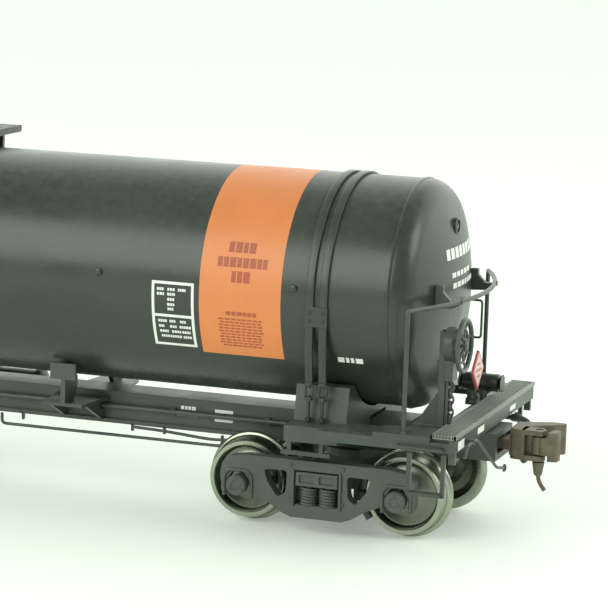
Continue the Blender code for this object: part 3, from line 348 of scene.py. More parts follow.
def settled_dust_group():
    """How much dust lies on a surface: more where it faces up, broken up by cloudiness."""
    tree, enter, leave = new_group(
        "settled dust",
        [("Vector", "NodeSocketVector", None), ("Amount", "NodeSocketFloat", 0.3)],
        [("Dust", "NodeSocketFloat")],
    )
    facing = node(tree, "ShaderNodeNewGeometry", -700, -250)
    split = node(tree, "ShaderNodeSeparateXYZ", -500, -250)
    tree.links.new(facing.outputs["Normal"], split.inputs[0])
    upward = node(tree, "ShaderNodeMapRange", -300, -250, in_1=0.2, in_2=1.0)
    tree.links.new(split.outputs["Z"], upward.inputs["Value"])
    clouds = node(tree, "ShaderNodeTexNoise", -500, 100)
    clouds.inputs["Scale"].default_value = 900.0
    clouds.inputs["Detail"].default_value = 5.0
    tree.links.new(enter.outputs["Vector"], clouds.inputs["Vector"])
    spread = node(tree, "ShaderNodeMapRange", -300, 100, in_1=0.35, in_2=0.75)
    tree.links.new(clouds.outputs["Fac"], spread.inputs["Value"])
    both = node(tree, "ShaderNodeMath", -50, 0, operation="MULTIPLY")
    tree.links.new(upward.outputs["Result"], both.inputs[0])
    tree.links.new(spread.outputs["Result"], both.inputs[1])
    amount = node(tree, "ShaderNodeMath", 200, 0, operation="MULTIPLY")
    tree.links.new(both.outputs[0], amount.inputs[0])
    tree.links.new(enter.outputs["Amount"], amount.inputs[1])
    tree.links.new(amount.outputs[0], leave.inputs["Dust"])
    return tree


def group_of(name, maker):
    """The node group of that name, made the first time."""
    return bpy.data.node_groups.get(name) or maker()


def mix_colour(tree, factor, first, second, x, y):
    """A colour mix by a factor socket. A colour is a socket or three numbers."""
    made = node(tree, "ShaderNodeMix", x, y, data_type="RGBA")
    tree.links.new(factor, made.inputs["Factor"])
    for number, colour in ((6, first), (7, second)):
        if isinstance(colour, bpy.types.NodeSocket):
            tree.links.new(colour, made.inputs[number])
        else:
            made.inputs[number].default_value = (*colour, 1.0)
    return made.outputs[2]


def coated(
    name,
    colour,
    roughness,
    metallic=0.0,
    cloud=0.15,
    dust=0.25,
    fine=6000.0,
    broad=140.0,
    bump=0.12,
    specular=0.5,
    dust_colour=(0.32, 0.34, 0.30),
):
    """A paint, plastic or metal skin: cloudy colour and gloss, fine grain in relief, and settled dust."""
    material = bpy.data.materials.new(name)
    material.use_nodes = True
    tree = material.node_tree
    shader = tree.nodes["Principled BSDF"]
    shader.inputs["Metallic"].default_value = metallic
    shader.inputs["Specular IOR Level"].default_value = specular
    place = node(tree, "ShaderNodeTexCoord", -1100, 0)
    grain = node(tree, "ShaderNodeGroup", -850, 100)
    grain.node_tree = group_of("spray grain", spray_grain_group)
    grain.inputs["Fine"].default_value = fine
    grain.inputs["Broad"].default_value = broad
    settled = node(tree, "ShaderNodeGroup", -850, -200)
    settled.node_tree = group_of("settled dust", settled_dust_group)
    settled.inputs["Amount"].default_value = dust
    for user in (grain, settled):
        tree.links.new(place.outputs["Object"], user.inputs["Vector"])
    light = [min(1.0, c * (1 + cloud) + cloud * 0.01) for c in colour]
    dark = [c * (1 - cloud) for c in colour]
    body = mix_colour(tree, grain.outputs["Cloud"], dark, light, -550, 250)
    skin = mix_colour(tree, settled.outputs["Dust"], body, dust_colour, -300, 250)
    tree.links.new(skin, shader.inputs["Base Color"])
    gloss = node(tree, "ShaderNodeMapRange", -550, -50, in_3=roughness - 0.05, in_4=roughness + 0.07)
    tree.links.new(grain.outputs["Cloud"], gloss.inputs["Value"])
    duller = node(tree, "ShaderNodeMath", -300, -50, operation="MULTIPLY_ADD", in_1=0.4)
    tree.links.new(settled.outputs["Dust"], duller.inputs[0])
    tree.links.new(gloss.outputs["Result"], duller.inputs[2])
    tree.links.new(duller.outputs[0], shader.inputs["Roughness"])
    relief = node(tree, "ShaderNodeBump", -300, -300)
    relief.inputs["Strength"].default_value = bump
    relief.inputs["Distance"].default_value = 0.05 * MM
    tree.links.new(grain.outputs["Grain"], relief.inputs["Height"])
    tree.links.new(relief.outputs["Normal"], shader.inputs["Normal"])
    return material


def turned_metal(name, colour, dish):
    """Bright turned metal with fine rings, and a painted dark reflection inside the rim, where the dish colour
    stands in for the dark room mirrored in the wheel face. Both follow the 'lathe' attribute.
    """
    material = coated(name, colour, 0.27, metallic=1.0, cloud=0.12, dust=0.15, broad=400.0, bump=0.05)
    tree = material.node_tree
    shader = tree.nodes["Principled BSDF"]
    radius = node(tree, "ShaderNodeAttribute", -1100, -500, attribute_name="lathe")
    rings = node(tree, "ShaderNodeTexNoise", -850, -500, noise_dimensions="1D")
    rings.inputs["Scale"].default_value = 9000.0
    rings.inputs["Detail"].default_value = 3.0
    tree.links.new(radius.outputs["Fac"], rings.inputs["W"])
    # Inside a radius of 4.0 to 4.3 mm the base colour fades to the dish colour: a painted dark reflection of the
    # room, not a finish of the metal.
    outer = node(tree, "ShaderNodeMapRange", -550, 500, in_1=4.0 * MM, in_2=4.3 * MM)
    tree.links.new(radius.outputs["Fac"], outer.inputs["Value"])
    plain = shader.inputs["Base Color"].links[0].from_socket
    painted_dish_reflection = mix_colour(tree, outer.outputs["Result"], dish, plain, -50, 450)
    tree.links.new(painted_dish_reflection, shader.inputs["Base Color"])
    relief = node(tree, "ShaderNodeBump", -300, -550)
    relief.inputs["Strength"].default_value = 0.25
    relief.inputs["Distance"].default_value = 0.02 * MM
    tree.links.new(rings.outputs["Fac"], relief.inputs["Height"])
    tree.links.new(relief.outputs["Normal"], shader.inputs["Normal"])
    return material


def finish(name):
    """The finish of that name, made the first time it is asked for."""
    found = bpy.data.materials.get(name)
    if found is not None:
        return found
    colours = bpy.context.scene.wagon_colours
    paint = functools.partial(coated, name)
    makers = {
        "tank paint": lambda: paint(colours.tank, 0.28, cloud=0.12, dust=0.10, broad=90.0, bump=0.06),
        "frame paint": lambda: paint(colours.underframe, 0.38, cloud=0.18, dust=0.22, bump=0.12),
        "truck plastic": lambda: paint(colours.truck, 0.52, cloud=0.15, dust=0.25, fine=5000.0, bump=0.15),
        "bright wheel": lambda: turned_metal(name, colours.wheel, colours.wheel_dish_reflection),
        "browned coupler": lambda: coated(
            name, colours.coupler, 0.48, metallic=0.35, cloud=0.3, dust=0.15, fine=4000.0, broad=700.0, bump=0.25
        ),
        "screw steel": lambda: paint((0.42, 0.42, 0.40), 0.35, metallic=1.0, cloud=0.2, dust=0.1),
        "orange print": lambda: paint(colours.panel, 0.42, cloud=0.05, dust=0.04, broad=200.0, bump=0.05),
        "white print": lambda: paint(colours.marking, 0.5, cloud=0.06, dust=0.04, broad=900.0, bump=0.05),
        "brown print": lambda: paint(colours.stencil, 0.5, cloud=0.1, dust=0.02, broad=900.0, bump=0.05),
        "notice field": lambda: paint(colours.field, 0.5, cloud=0.08, dust=0.06, broad=900.0, bump=0.05),
        "walkway paint": lambda: paint(colours.walkway, 0.42, cloud=0.25, dust=0.35, bump=0.2),
        "notice red": lambda: paint(colours.placard, 0.45, cloud=0.08, dust=0.06, broad=900.0, bump=0.05),
    }
    return makers[name]()


def piece(name, shape, body, coat, replaces=(), bevel=0.0, lathe=None):
    """One finished piece: the shape as a mesh whose seams are closed and whose faces point out."""
    mesh = bpy.data.meshes.new(name)
    mesh.from_pydata(shape[0].tolist(), [], shape[1])
    bm = bmesh.new()
    bm.from_mesh(mesh)
    bmesh.ops.remove_doubles(bm, verts=bm.verts, dist=SEAM_GAP)
    bmesh.ops.recalc_face_normals(bm, faces=bm.faces)
    bm.to_mesh(mesh)
    bm.free()
    mesh.shade_smooth()
    mesh.set_sharp_from_angle(angle=SHARP_ANGLE)
    if lathe is not None:
        places = np.zeros(3 * len(mesh.vertices), np.float32)
        mesh.vertices.foreach_get("co", places)
        away = np.linalg.norm((places.reshape(-1, 3) - np.asarray(lathe))[:, (0, 2)], axis=1)
        mesh.attributes.new("lathe", "FLOAT", "POINT").data.foreach_set("value", away.astype(np.float32))
    mesh.materials.append(finish(coat))
    obj = bpy.data.objects.new(name, mesh)
    bpy.context.scene.collection.objects.link(obj)
    if bevel:
        rounding = obj.modifiers.new("rounded edges", "BEVEL")
        rounding.width = bevel
        rounding.segments = 2
        rounding.limit_method = "ANGLE"
        rounding.angle_limit = SHARP_ANGLE
        rounding.harden_normals = False
    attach(obj, body)
    if replaces:
        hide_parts(*replaces)
    return obj


def frame_fitting(name, shape, *replaces):
    """A piece of the underframe."""
    piece(name, shape, "wagon_body", "frame paint", replaces)


def tank_fitting(name, shape, *replaces):
    """A piece of the tank."""
    piece(name, shape, "wagon_body", "tank paint", replaces)


def end_pieces(name, shape, coat, body="wagon_body", replaces=(), bevel=0.0):
    """The same piece at both ends. A {} in a name stands for the end's letter."""
    for letter in "ba":
        piece(
            name.format(letter),
            at_end(shape, letter),
            body.format(letter),
            coat,
            [each.format(letter) for each in replaces],
            bevel,
        )


# ------------------------------------------------------------------ settings


def colour_setting(name, description, default):
    """A colour in a settings group."""
    return FloatVectorProperty(
        name=name, description=description, subtype="COLOR", default=default, min=0, max=1
    )


def length_setting(name, description, default):
    """A length in metres in a settings group."""
    return FloatProperty(name=name, description=description, default=default, unit="LENGTH", precision=5)


class WagonColours(bpy.types.PropertyGroup):
    """Colours of the wagon's finishes."""

    tank: colour_setting("Tank", "Tank paint", (0.032, 0.040, 0.033))
    underframe: colour_setting("Underframe", "Paint of the sill, decks and fittings", (0.056, 0.066, 0.056))
    truck: colour_setting("Trucks", "Moulded trucks", (0.070, 0.080, 0.070))
    wheel: colour_setting("Wheels", "Turned wheels", (0.34, 0.365, 0.29))
    # The wheel dish colour is a painted dark reflection inside the rims, not a darkening of the metal.
    wheel_dish_reflection: colour_setting("Wheel dish", "Painted dark reflection inside the wheel rims", (0.17, 0.185, 0.15))
    coupler: colour_setting("Couplers", "Browned couplers", (0.135, 0.108, 0.072))
    panel: colour_setting("Panel", "Printed panel on the tank", (0.70, 0.225, 0.068))
    marking: colour_setting("Markings", "Pale printed marks", (0.78, 0.80, 0.76))
    stencil: colour_setting("Stencil", "Marks on the panel", (0.40, 0.090, 0.045))
    field: colour_setting("Notice field", "Middle of the notice plate", (0.72, 0.55, 0.53))
    # The whole grating takes this colour, lighter than the underframe paint.
    walkway: colour_setting("Walkway", "Lighter paint over the whole end gratings", (0.23, 0.25, 0.215))
    placard: colour_setting("Notice plate", "Border of the notice plate", (0.58, 0.13, 0.15))


class WagonSizes(bpy.types.PropertyGroup):
    """Sizes of fine pieces that the frame doesn't settle."""

    wire: length_setting("Handrail radius", "Radius of the handrail wire", 0.28 * MM)
    strap: length_setting("Strap width", "Width of each tank strap", 0.95 * MM)
    lap: length_setting("Lap", "Step where the tank's sheets overlap", 0.09 * MM)
    wheel_steps: IntProperty(
        name="Wheel steps", description="Faces round each wheel", default=120, min=24, max=240
    )
    tank_steps: IntProperty(
        name="Tank steps", description="Faces round the tank", default=240, min=48, max=480
    )


class WagonStage(bpy.types.PropertyGroup):
    """Floor, lights and camera."""

    floor: colour_setting("Floor", "Floor colour", (0.86, 0.92, 0.85))
    front_light: FloatProperty(
        name="Front light", description="Power of the soft light behind the camera", default=2.2,
        subtype="POWER"
    )
    side_light: FloatProperty(
        name="Side light", description="Power of the soft light beyond the brake end", default=1.1,
        subtype="POWER"
    )
    room: FloatProperty(name="Room light", description="Strength of the light from all round", default=1.1)
    glow: FloatProperty(
        name="Floor glow", description="Light the floor gives by itself, as on a light table", default=0.18
    )
    lens: FloatProperty(
        name="Lens", description="Camera lens in millimetres", default=164.0, min=20, max=300
    )


# ------------------------------------------------------------------ stage


class WAGON_OT_stage(bpy.types.Operator):
    """Pale floor, soft studio lights, and the camera"""

    bl_idname = "wagon.stage"
    bl_label = "Floor, lights and camera"

    def execute(self, context):
        look = context.scene.wagon_stage
        scene = context.scene
        scene.view_settings.view_transform = "Standard"
        reach = 6.0
        floor_mesh = bpy.data.meshes.new("studio_floor")
        corners = np.array(
            [(-reach, -reach, 0), (reach, -reach, 0), (reach, reach, 0), (-reach, reach, 0)], float
        )
        floor_mesh.from_pydata(corners.tolist(), [], [[0, 1, 2, 3]])
        floor = bpy.data.objects.new("studio_floor", floor_mesh)
        scene.collection.objects.link(floor)
        paper = coated(
            "floor paper", look.floor, 0.75, cloud=0.01, dust=0.0, fine=900.0, broad=6.0, bump=0.02
        )
        shader = paper.node_tree.nodes["Principled BSDF"]
        shader.inputs["Emission Color"].default_value = (0.93, 1.0, 0.92, 1.0)
        shader.inputs["Emission Strength"].default_value = look.glow
        floor_mesh.materials.append(paper)
        self.light("front softbox", (-0.22, -0.46, 0.30), (0.01, 0.0, 0.03), (0.5, 0.38), look.front_light)
        self.light("end softbox", (0.58, 0.0, 0.40), (0.08, 0.0, 0.03), (0.3, 0.3), look.side_light)
        self.room(scene, look.room)
        self.camera(scene, look.lens)
        return {"FINISHED"}

    def room(self, scene, strength):
        """Room light by direction: dim overhead, bright behind the wagon, softer on the camera's side."""
        world = bpy.data.worlds.new("studio room")
        scene.world = world
        world.use_nodes = True
        tree = world.node_tree
        place = node(tree, "ShaderNodeTexCoord", -1000, 0)
        parts = node(tree, "ShaderNodeSeparateXYZ", -800, 0)
        tree.links.new(place.outputs["Generated"], parts.inputs["Vector"])
        height = node(tree, "ShaderNodeValToRGB", -600, 150)
        ramp = height.color_ramp
        ramp.elements[0].position = 0.0
        ramp.elements[0].color = (0.62, 0.62, 0.62, 1.0)
        ramp.elements[1].position = 1.0
        ramp.elements[1].color = (0.22, 0.22, 0.22, 1.0)
        for level, value in ((0.15, 0.72), (0.45, 0.74), (0.70, 0.62), (0.88, 0.30)):
            ramp.elements.new(level).color = (value, value, value, 1.0)
        tree.links.new(parts.outputs["Z"], height.inputs["Fac"])
        behind = node(tree, "ShaderNodeMapRange", -600, -150, in_1=-0.5, in_2=0.6, in_3=0.6, in_4=2.3)
        tree.links.new(parts.outputs["Y"], behind.inputs["Value"])
        total = node(tree, "ShaderNodeMath", -350, 0, operation="MULTIPLY")
        tree.links.new(height.outputs["Color"], total.inputs[0])
        tree.links.new(behind.outputs["Result"], total.inputs[1])
        scale = node(tree, "ShaderNodeMath", -180, 0, operation="MULTIPLY", in_1=strength)
        tree.links.new(total.outputs[0], scale.inputs[0])
        back = tree.nodes["Background"]
        back.inputs["Color"].default_value = (0.94, 1.0, 0.93, 1.0)
        tree.links.new(scale.outputs[0], back.inputs["Strength"])

    def light(self, name, place, target, size, power):
        """A soft light of a width and height at a place, turned to a target."""
        data = bpy.data.lights.new(name, "AREA")
        data.shape = "RECTANGLE"
        data.size, data.size_y = size
        data.energy = power
        data.color = (0.93, 1.0, 0.92)
        lamp = bpy.data.objects.new(name, data)
        bpy.context.scene.collection.objects.link(lamp)
        lamp.location = place
        lamp.rotation_euler = (Vector(target) - Vector(place)).to_track_quat("-Z", "Y").to_euler()

    def camera(self, scene, lens):
        """A long lens, slightly above the deck and off the brake end's quarter, with a small roll."""
        turn, rise, roll = (math.radians(a) for a in (18.772, 9.629, 1.788))
        back = Vector((math.sin(turn) * math.cos(rise), -math.cos(turn) * math.cos(rise), math.sin(rise)))
        right = Vector((math.cos(turn), math.sin(turn), 0.0))
        up = back.cross(right)
        tilted_right = math.cos(roll) * right + math.sin(roll) * up
        tilted_up = -math.sin(roll) * right + math.cos(roll) * up
        data = bpy.data.cameras.new("studio camera")
        data.lens = lens
        data.sensor_width = 36.0
        data.clip_start = 0.02
        data.clip_end = 50.0
        camera = bpy.data.objects.new("studio camera", data)
        scene.collection.objects.link(camera)
        camera.matrix_world = Matrix.Translation(
            Vector((161.14, -317.30, 82.52)) * MM
        ) @ Matrix((tilted_right, tilted_up, back)).transposed().to_4x4()
        scene.camera = camera


# ------------------------------------------------------------------ tank


def tank_skin(x, angle):
    """Points and normals on the tank's side: (x, R cos a, Z + R sin a), angle in degrees up from +Y."""
    a = np.radians(angle)
    normals = np.stack([0 * x, np.cos(a), np.sin(a)], -1)
    points = normals * TANK_R + np.stack([x, 0 * x, TANK_Z + 0 * x], -1)
    return points, normals


def head_skin(y, z):
    """Points and normals on the brake end's head: x = tip - L + sqrt(L^2 - y^2 - z^2), z from the axis."""
    reach = np.sqrt(HEAD_CROWN**2 - y**2 - z**2)
    points = np.stack([HEAD_TIP - HEAD_CROWN + reach, y, TANK_Z + z], -1)
    return points, np.stack([reach, y, z], -1) / HEAD_CROWN


def web_skin(x, z):
    """Points and normals on the sill's right side: (x, -web, z)."""
    return np.stack([x, 0 * x - WEB_Y, z], -1), np.stack([0 * x, 0 * x - 1, 0 * x], -1)


def sill_end_skin(y, z):
    """Points and normals on the end sill's face, in the end's own frame: (face, y, z)."""
    return np.stack([0 * y + END_FACE, y, z], -1), np.stack([0 * y + 1, 0 * y, 0 * y], -1)


class WAGON_OT_tank(bpy.types.Operator):
    """Tank side with its lapped sheets, the dished heads and their seams"""

    bl_idname = "wagon.tank"
    bl_label = "Tank and heads"

    def execute(self, context):
        sizes = context.scene.wagon_sizes
        self.barrel(sizes)
        self.heads(sizes)
        return {"FINISHED"}

    def barrel(self, sizes):
        """Radius R above the laps and R - lap below them, over a fine step in angle at each lap."""
        lap_angle = math.radians(31.0)
        lap_slope = 0.003
        lug_stations = mm(-56.7, -31.83, 31.83, 56.7)
        angles = np.linspace(-math.pi / 2, 3 * math.pi / 2, sizes.tank_steps, endpoint=False)
        edges = np.array([-lap_angle, math.pi + lap_angle])
        angles = np.sort(np.concatenate([angles, edges - lap_slope, edges + lap_slope]))
        below = (angles < edges[0]) | (angles > edges[1])
        radius = np.where(below, TANK_R - sizes.lap, TANK_R)
        stations = np.array([-TANK_HALF, TANK_HALF])
        skins = []
        for r in (radius, radius * 0 + TANK_R - 0.8 * MM):
            skin = np.zeros((len(stations), len(angles), 3))
            skin[..., 0] = stations[:, None]
            skin[..., 1] = r * np.cos(angles)
            skin[..., 2] = TANK_Z + r * np.sin(angles)
            skins.append(skin)
        rows = np.stack([skins[1][0], skins[0][0], skins[0][1], skins[1][1]])
        shell = grid(rows, wrap_rows=True, wrap_columns=True)
        lugs = []
        for x in lug_stations:
            for side in (-1, 1):
                z = above_rail(29.25)
                y = side * (TANK_R - 0.1 * MM)
                lugs.append(
                    turned(
                        [
                            (0, 0), mm(0, 0.42), (side * 0.3 * MM, 0.4 * MM), (side * 0.42 * MM, 0.2 * MM),
                            (side * 0.42 * MM, 0)
                        ],
                        "y", (x, y, z), 16
                    )
                )
        tank_fitting("tank_side", joined(shell, *lugs), "tank_barrel")

    def heads(self, sizes):
        """Knuckle x = s + k cos b, r = R - k + k sin b, crown x = t - L + L cos c, r = L sin c, and a weld."""
        seam = HEAD_SEAM - TRUCK_X
        tip = HEAD_TIP - TRUCK_X
        meet = math.atan2(HEAD_FLAT, HEAD_CROWN - (tip - seam))
        b = np.linspace(math.pi / 2, meet, 20)
        c = np.linspace(meet, 0, 24)[1:]
        knuckle = np.stack([seam + HEAD_KNUCKLE * np.cos(b), HEAD_FLAT + HEAD_KNUCKLE * np.sin(b)], -1)
        crown = np.stack([tip - HEAD_CROWN + HEAD_CROWN * np.cos(c), HEAD_CROWN * np.sin(c)], -1)
        profile = np.vstack(
            [
                [seam - 2 * MM, 0], [seam - 2 * MM, TANK_R - 1.2 * MM], [seam, TANK_R - 1.2 * MM], knuckle,
                crown
            ]
        )
        profile[-1, 1] = 0.0
        head = turned(profile, "x", (0, 0, TANK_Z), sizes.tank_steps)
        bead = turned(
            ring(0.17 * MM, 8, 0.9) + (seam, TANK_R - 0.01 * MM), "x", (0, 0, TANK_Z), sizes.tank_steps,
            loop=True
        )
        boss_y, boss_z = 0.3 * MM, 8.4 * MM
        point, _ = head_skin(np.array(boss_y), np.array(boss_z))
        boss = [
            (-0.5, 0), (-0.5, 1.05), (0.22, 1.05), (0.3, 0.97), (0.3, 0.8), (0.02, 0.75), (0.02, 0.42),
            (0.25, 0.4), (0.25, 0)
        ]
        boss = turned(np.array(boss) * MM, "x", (point[0] - TRUCK_X, boss_y, TANK_Z + boss_z), 32)
        end_pieces(
            "head_{}_dish", joined(head, bead, boss), "tank paint", replaces=["tank_head_{}"]
        )


class WAGON_OT_straps(bpy.types.Operator):
    """Tank straps with their clamp plates, turnbuckles and rods"""

    bl_idname = "wagon.straps"
    bl_label = "Tank straps"

    def execute(self, context):
        width = context.scene.wagon_sizes.strap
        for letter in "ba":
            for position, offset in (("inner", -1.2 * MM), ("outer", 0.5 * MM)):
                body = shifted(self.strap(width), (offset, 0, 0))
                tank_fitting(
                    f"strap_{letter}_{position}_band", at_end(body, letter),
                    f"tank_strap_{letter}_{position}"
                )
        clamp_z = (above_rail(24.9), above_rail(27.3))
        clamp = block(mm(-1.75, 1.05), mm(-14.35, -13.6), clamp_z)
        studs = [
            stud((x, -14.33 * MM, RAIL + z * MM), "-y", 0.22 * MM, 0.18 * MM)
            for x in mm(-1.2, 0.5)
            for z in (25.6, 26.6)
        ]
        end_pieces(
            "strap_clamps_{}", both_hands(joined(clamp, *studs)), "tank paint",
            bevel=0.08 * MM
        )
        return {"FINISHED"}

    def strap(self, width):
        """A flat bar over the tank's crown, straight down each side, then a turnbuckle and a rod."""
        lift = 0.17 * MM
        r = TANK_R + lift
        angle = np.linspace(0, math.pi, 73)
        side_y = r
        low = above_rail(18.0)
        over = np.stack([0 * angle, r * np.cos(angle), TANK_Z + r * np.sin(angle)], -1)
        normals = np.stack([0 * angle, np.cos(angle), np.sin(angle)], -1)
        path = np.vstack(
            [
                [(0, side_y - 0.6 * MM, low)], [(0, side_y - 0.1 * MM, low + 4 * MM)], over,
                [(0, -side_y + 0.1 * MM, low + 4 * MM)], [(0, -side_y + 0.6 * MM, low)]
            ]
        )
        outward = np.vstack([normals[:1], normals[:1], normals, normals[-1:], normals[-1:]])
        band = carried(rounded_bar(width, 0.36 * MM, 0.1 * MM), path, (1, 0, 0), outward)
        y = side_y - 0.7 * MM
        barrel = bent(
            [mm(-0.42, -0.42), mm(0.42, -0.42), mm(0.42, 0.42), mm(-0.42, 0.42)], 0.15 * MM, 3, closed=True
        )
        cheeks = []
        for x in mm(-0.42, 0.42):
            cheeks.append(
                tube([(x, y, above_rail(16.2)), (x, y, above_rail(18.0))], 0.14 * MM, (1, 0, 0), 8)
            )
        ends = [plate(barrel + (0, y), z, z + 0.4 * MM, "z") for z in (above_rail(16.0), above_rail(17.8))]
        rod = tube([(0, y, above_rail(13.35)), (0, y, above_rail(16.6))], 0.2 * MM, (1, 0, 0), 10)
        stub = tube([(0, y, above_rail(17.4)), (0, y, above_rail(18.4))], 0.2 * MM, (1, 0, 0), 10)
        nut = plate(ring(0.42 * MM, 6) + (0, y), above_rail(13.5), above_rail(13.9), "z")
        fittings = joined(*cheeks, *ends, rod, stub, nut)
        return joined(band, fittings, scaled(fittings, (1, -1, 1)))


class WAGON_OT_markings(bpy.types.Operator):
    """Printed panel, data frame, and plain bars where a wagon carries its data"""

    bl_idname = "wagon.markings"
    bl_label = "Printed marks"

    def execute(self, context):
        lift = 0.012 * MM
        sides = {"right": lambda a: 180 - a, "left": lambda a: a}
        panel = print_patch(tank_skin, mm(44.8, 55.1), (180 + 32, 0 - 32), lift, (2, 180))
        turned_panel = scaled(panel, (-1, 1, 1))
        piece("orange_panel_b", panel, "wagon_body", "orange print")
        piece("orange_panel_a", turned_panel, "wagon_body", "orange print")
        stencil, pale = [], []
        for side in sides:
            for sign in (1, -1):
                stencil += self.stencil_bars(sides[side], sign, 2.4 * lift)
                pale += self.data_frame(sides[side], sign, lift)
        piece("panel_bars", joined(*stencil), "wagon_body", "brown print")
        piece("tank_side_bars", joined(*pale), "wagon_body", "white print")
        rows = []
        for z, height, left, right, count in (
            (4.8, 1.3, -4.4, 7.3, 8), (2.6, 0.6, -3.2, 4.5, 5), (1.3, 0.65, -3.0, 6.4, 7)
        ):
            for y0, y1 in self.words(left, right, count, seed=int(z * 10)):
                rows.append(print_patch(head_skin, mm(y0, y1), (z * MM, (z + height) * MM), lift, (8, 4)))
        head = joined(*rows)
        piece("head_bars_b", head, "wagon_body", "white print")
        piece("head_bars_a", scaled(head, (-1, -1, 1)), "wagon_body", "white print")
        self.sill_marks(lift)
        return {"FINISHED"}

    def sill_marks(self, lift):
        """Two bars and two rows of small blocks on the sill's sides, three plain patches on each end sill."""
        spans = [((42.9, 45.3), (10.85, 11.25)), ((42.9, 45.3), (9.75, 10.2))]
        for row, (left, right, low, high) in enumerate(
            ((38.4, 40.4, 10.85, 11.3), (38.0, 40.6, 10.05, 10.4))
        ):
            spans += [(word, (low, high)) for word in self.words(left, right, 4, seed=60 + row)]
        shapes = [
            print_patch(web_skin, mm(a, b), (RAIL + low * MM, RAIL + high * MM), lift, (2, 2))
            for (a, b), (low, high) in spans
        ]
        marks = joined(*shapes)
        piece("sill_bars", joined(marks, scaled(marks, (-1, -1, 1))), "wagon_body", "white print")
        patches = (
            ((-16.7, -14.1), (12.45, 13.5)), ((-8.3, -5.5), (12.75, 13.5)), ((6.45, 9.1), (12.75, 13.37))
        )
        shapes = [
            print_patch(sill_end_skin, mm(a, b), (RAIL + low * MM, RAIL + high * MM), lift, (2, 2))
            for (a, b), (low, high) in patches
        ]
        end_pieces("end_sill_{}_patches", joined(*shapes), "white print")

    def words(self, start, stop, count, seed, gap=0.3):
        """So many spans from start to stop, of slightly uneven widths, which read as plain blocks of print."""
        dice = np.random.default_rng(seed)
        widths = dice.uniform(0.75, 1.25, count)
        widths *= (stop - start) / (widths.sum() + gap * (count - 1))
        space = gap * widths.mean()
        lefts = start + np.concatenate([[0], np.cumsum(widths[:-1] + space)])
        return list(zip(lefts, lefts + widths))

    def stencil_bars(self, mirror, sign, lift):
        """Three centred rows of blocks on the panel, a small row, and a block of fine rows under them."""
        rows = [
            (48.1, 51.4, 27.0, 21.7, 4), (46.9, 53.2, 19.2, 14.3, 8), (48.8, 51.1, 12.4, 6.9, 3),
            (48.2, 52.0, -7.6, -9.5, 6)
        ]
        for number, half in enumerate((2.75, 2.6, 2.75, 2.7, 2.75, 2.5, 2.7, 2.6, 2.75, 2.4)):
            top = -11.2 - 1.6 * number
            rows.append((50.0 - half, 50.0 + half, top, top - 0.75, 8))
        shapes = []
        for number, (left, right, top, low, count) in enumerate(rows):
            for x0, x1 in self.words(left, right, count, seed=number + 1):
                shapes.append(
                    print_patch(
                        tank_skin, (sign * x0 * MM, sign * x1 * MM), (mirror(top), mirror(low)), lift,
                        (2, 4)
                    )
                )
        return shapes

    def data_frame(self, mirror, sign, lift):
        """A ruled frame with a dividing line and rows of small blocks, and one small row near the strap."""
        x0, x1, top, low, middle, line = 38.74, 44.13, 4.7, -29.5, -12.6, 0.34
        line_angle = math.degrees(line * MM / TANK_R)
        spans = [
            ((x0, x0 + line), (top, low)),
            ((x1 - line, x1), (top, low)),
            ((x0, x1), (top, top - line_angle)),
            ((x0, x1), (low + line_angle, low)),
            ((x0, x1), (middle + line_angle / 2, middle - line_angle / 2)),
        ]
        words = [(0.8, ((0.69, 1.52), (2.03, 2.94), (3.38, 4.34))), (-1.6, ((0.69, 1.59), (2.03, 2.99)))]
        words += [(-4.2, ((2.03, 2.9),)), (-6.8, ((2.0, 2.94),)), (-9.1, ((2.03, 2.8),))]
        words += [
            (-15.5, ((0.74, 1.84), (2.2, 2.94), (3.55, 4.29))),
            (-18.4, ((0.78, 1.47), (2.2, 3.06), (3.43, 4.85)))
        ]
        words += [
            (-21.2, ((0.86, 1.96), (2.4, 3.55), (3.72, 4.78))),
            (-24.0, ((0.98, 2.0), (2.1, 3.55), (3.8, 4.85)))
        ]
        for number, (angle, row) in enumerate(words):
            for left, right in row:
                for letter in self.words(
                    x0 + left, x0 + right, round((right - left) / 0.27), seed=40 + number
                ):
                    spans.append((letter, (angle + 0.7, angle - 0.7)))
        for left, right in ((61.9, 62.7), (62.9, 63.3), (63.5, 63.9), (64.1, 65.0)):
            spans.append(((left, right), (-27.2, -30.2)))
        return [
            print_patch(
                tank_skin, (sign * a * MM, sign * b * MM), (mirror(high), mirror(deep)), lift,
                (2, 12 if high - deep > 5 else 3)
            )
            for (a, b), (high, deep) in spans
        ]


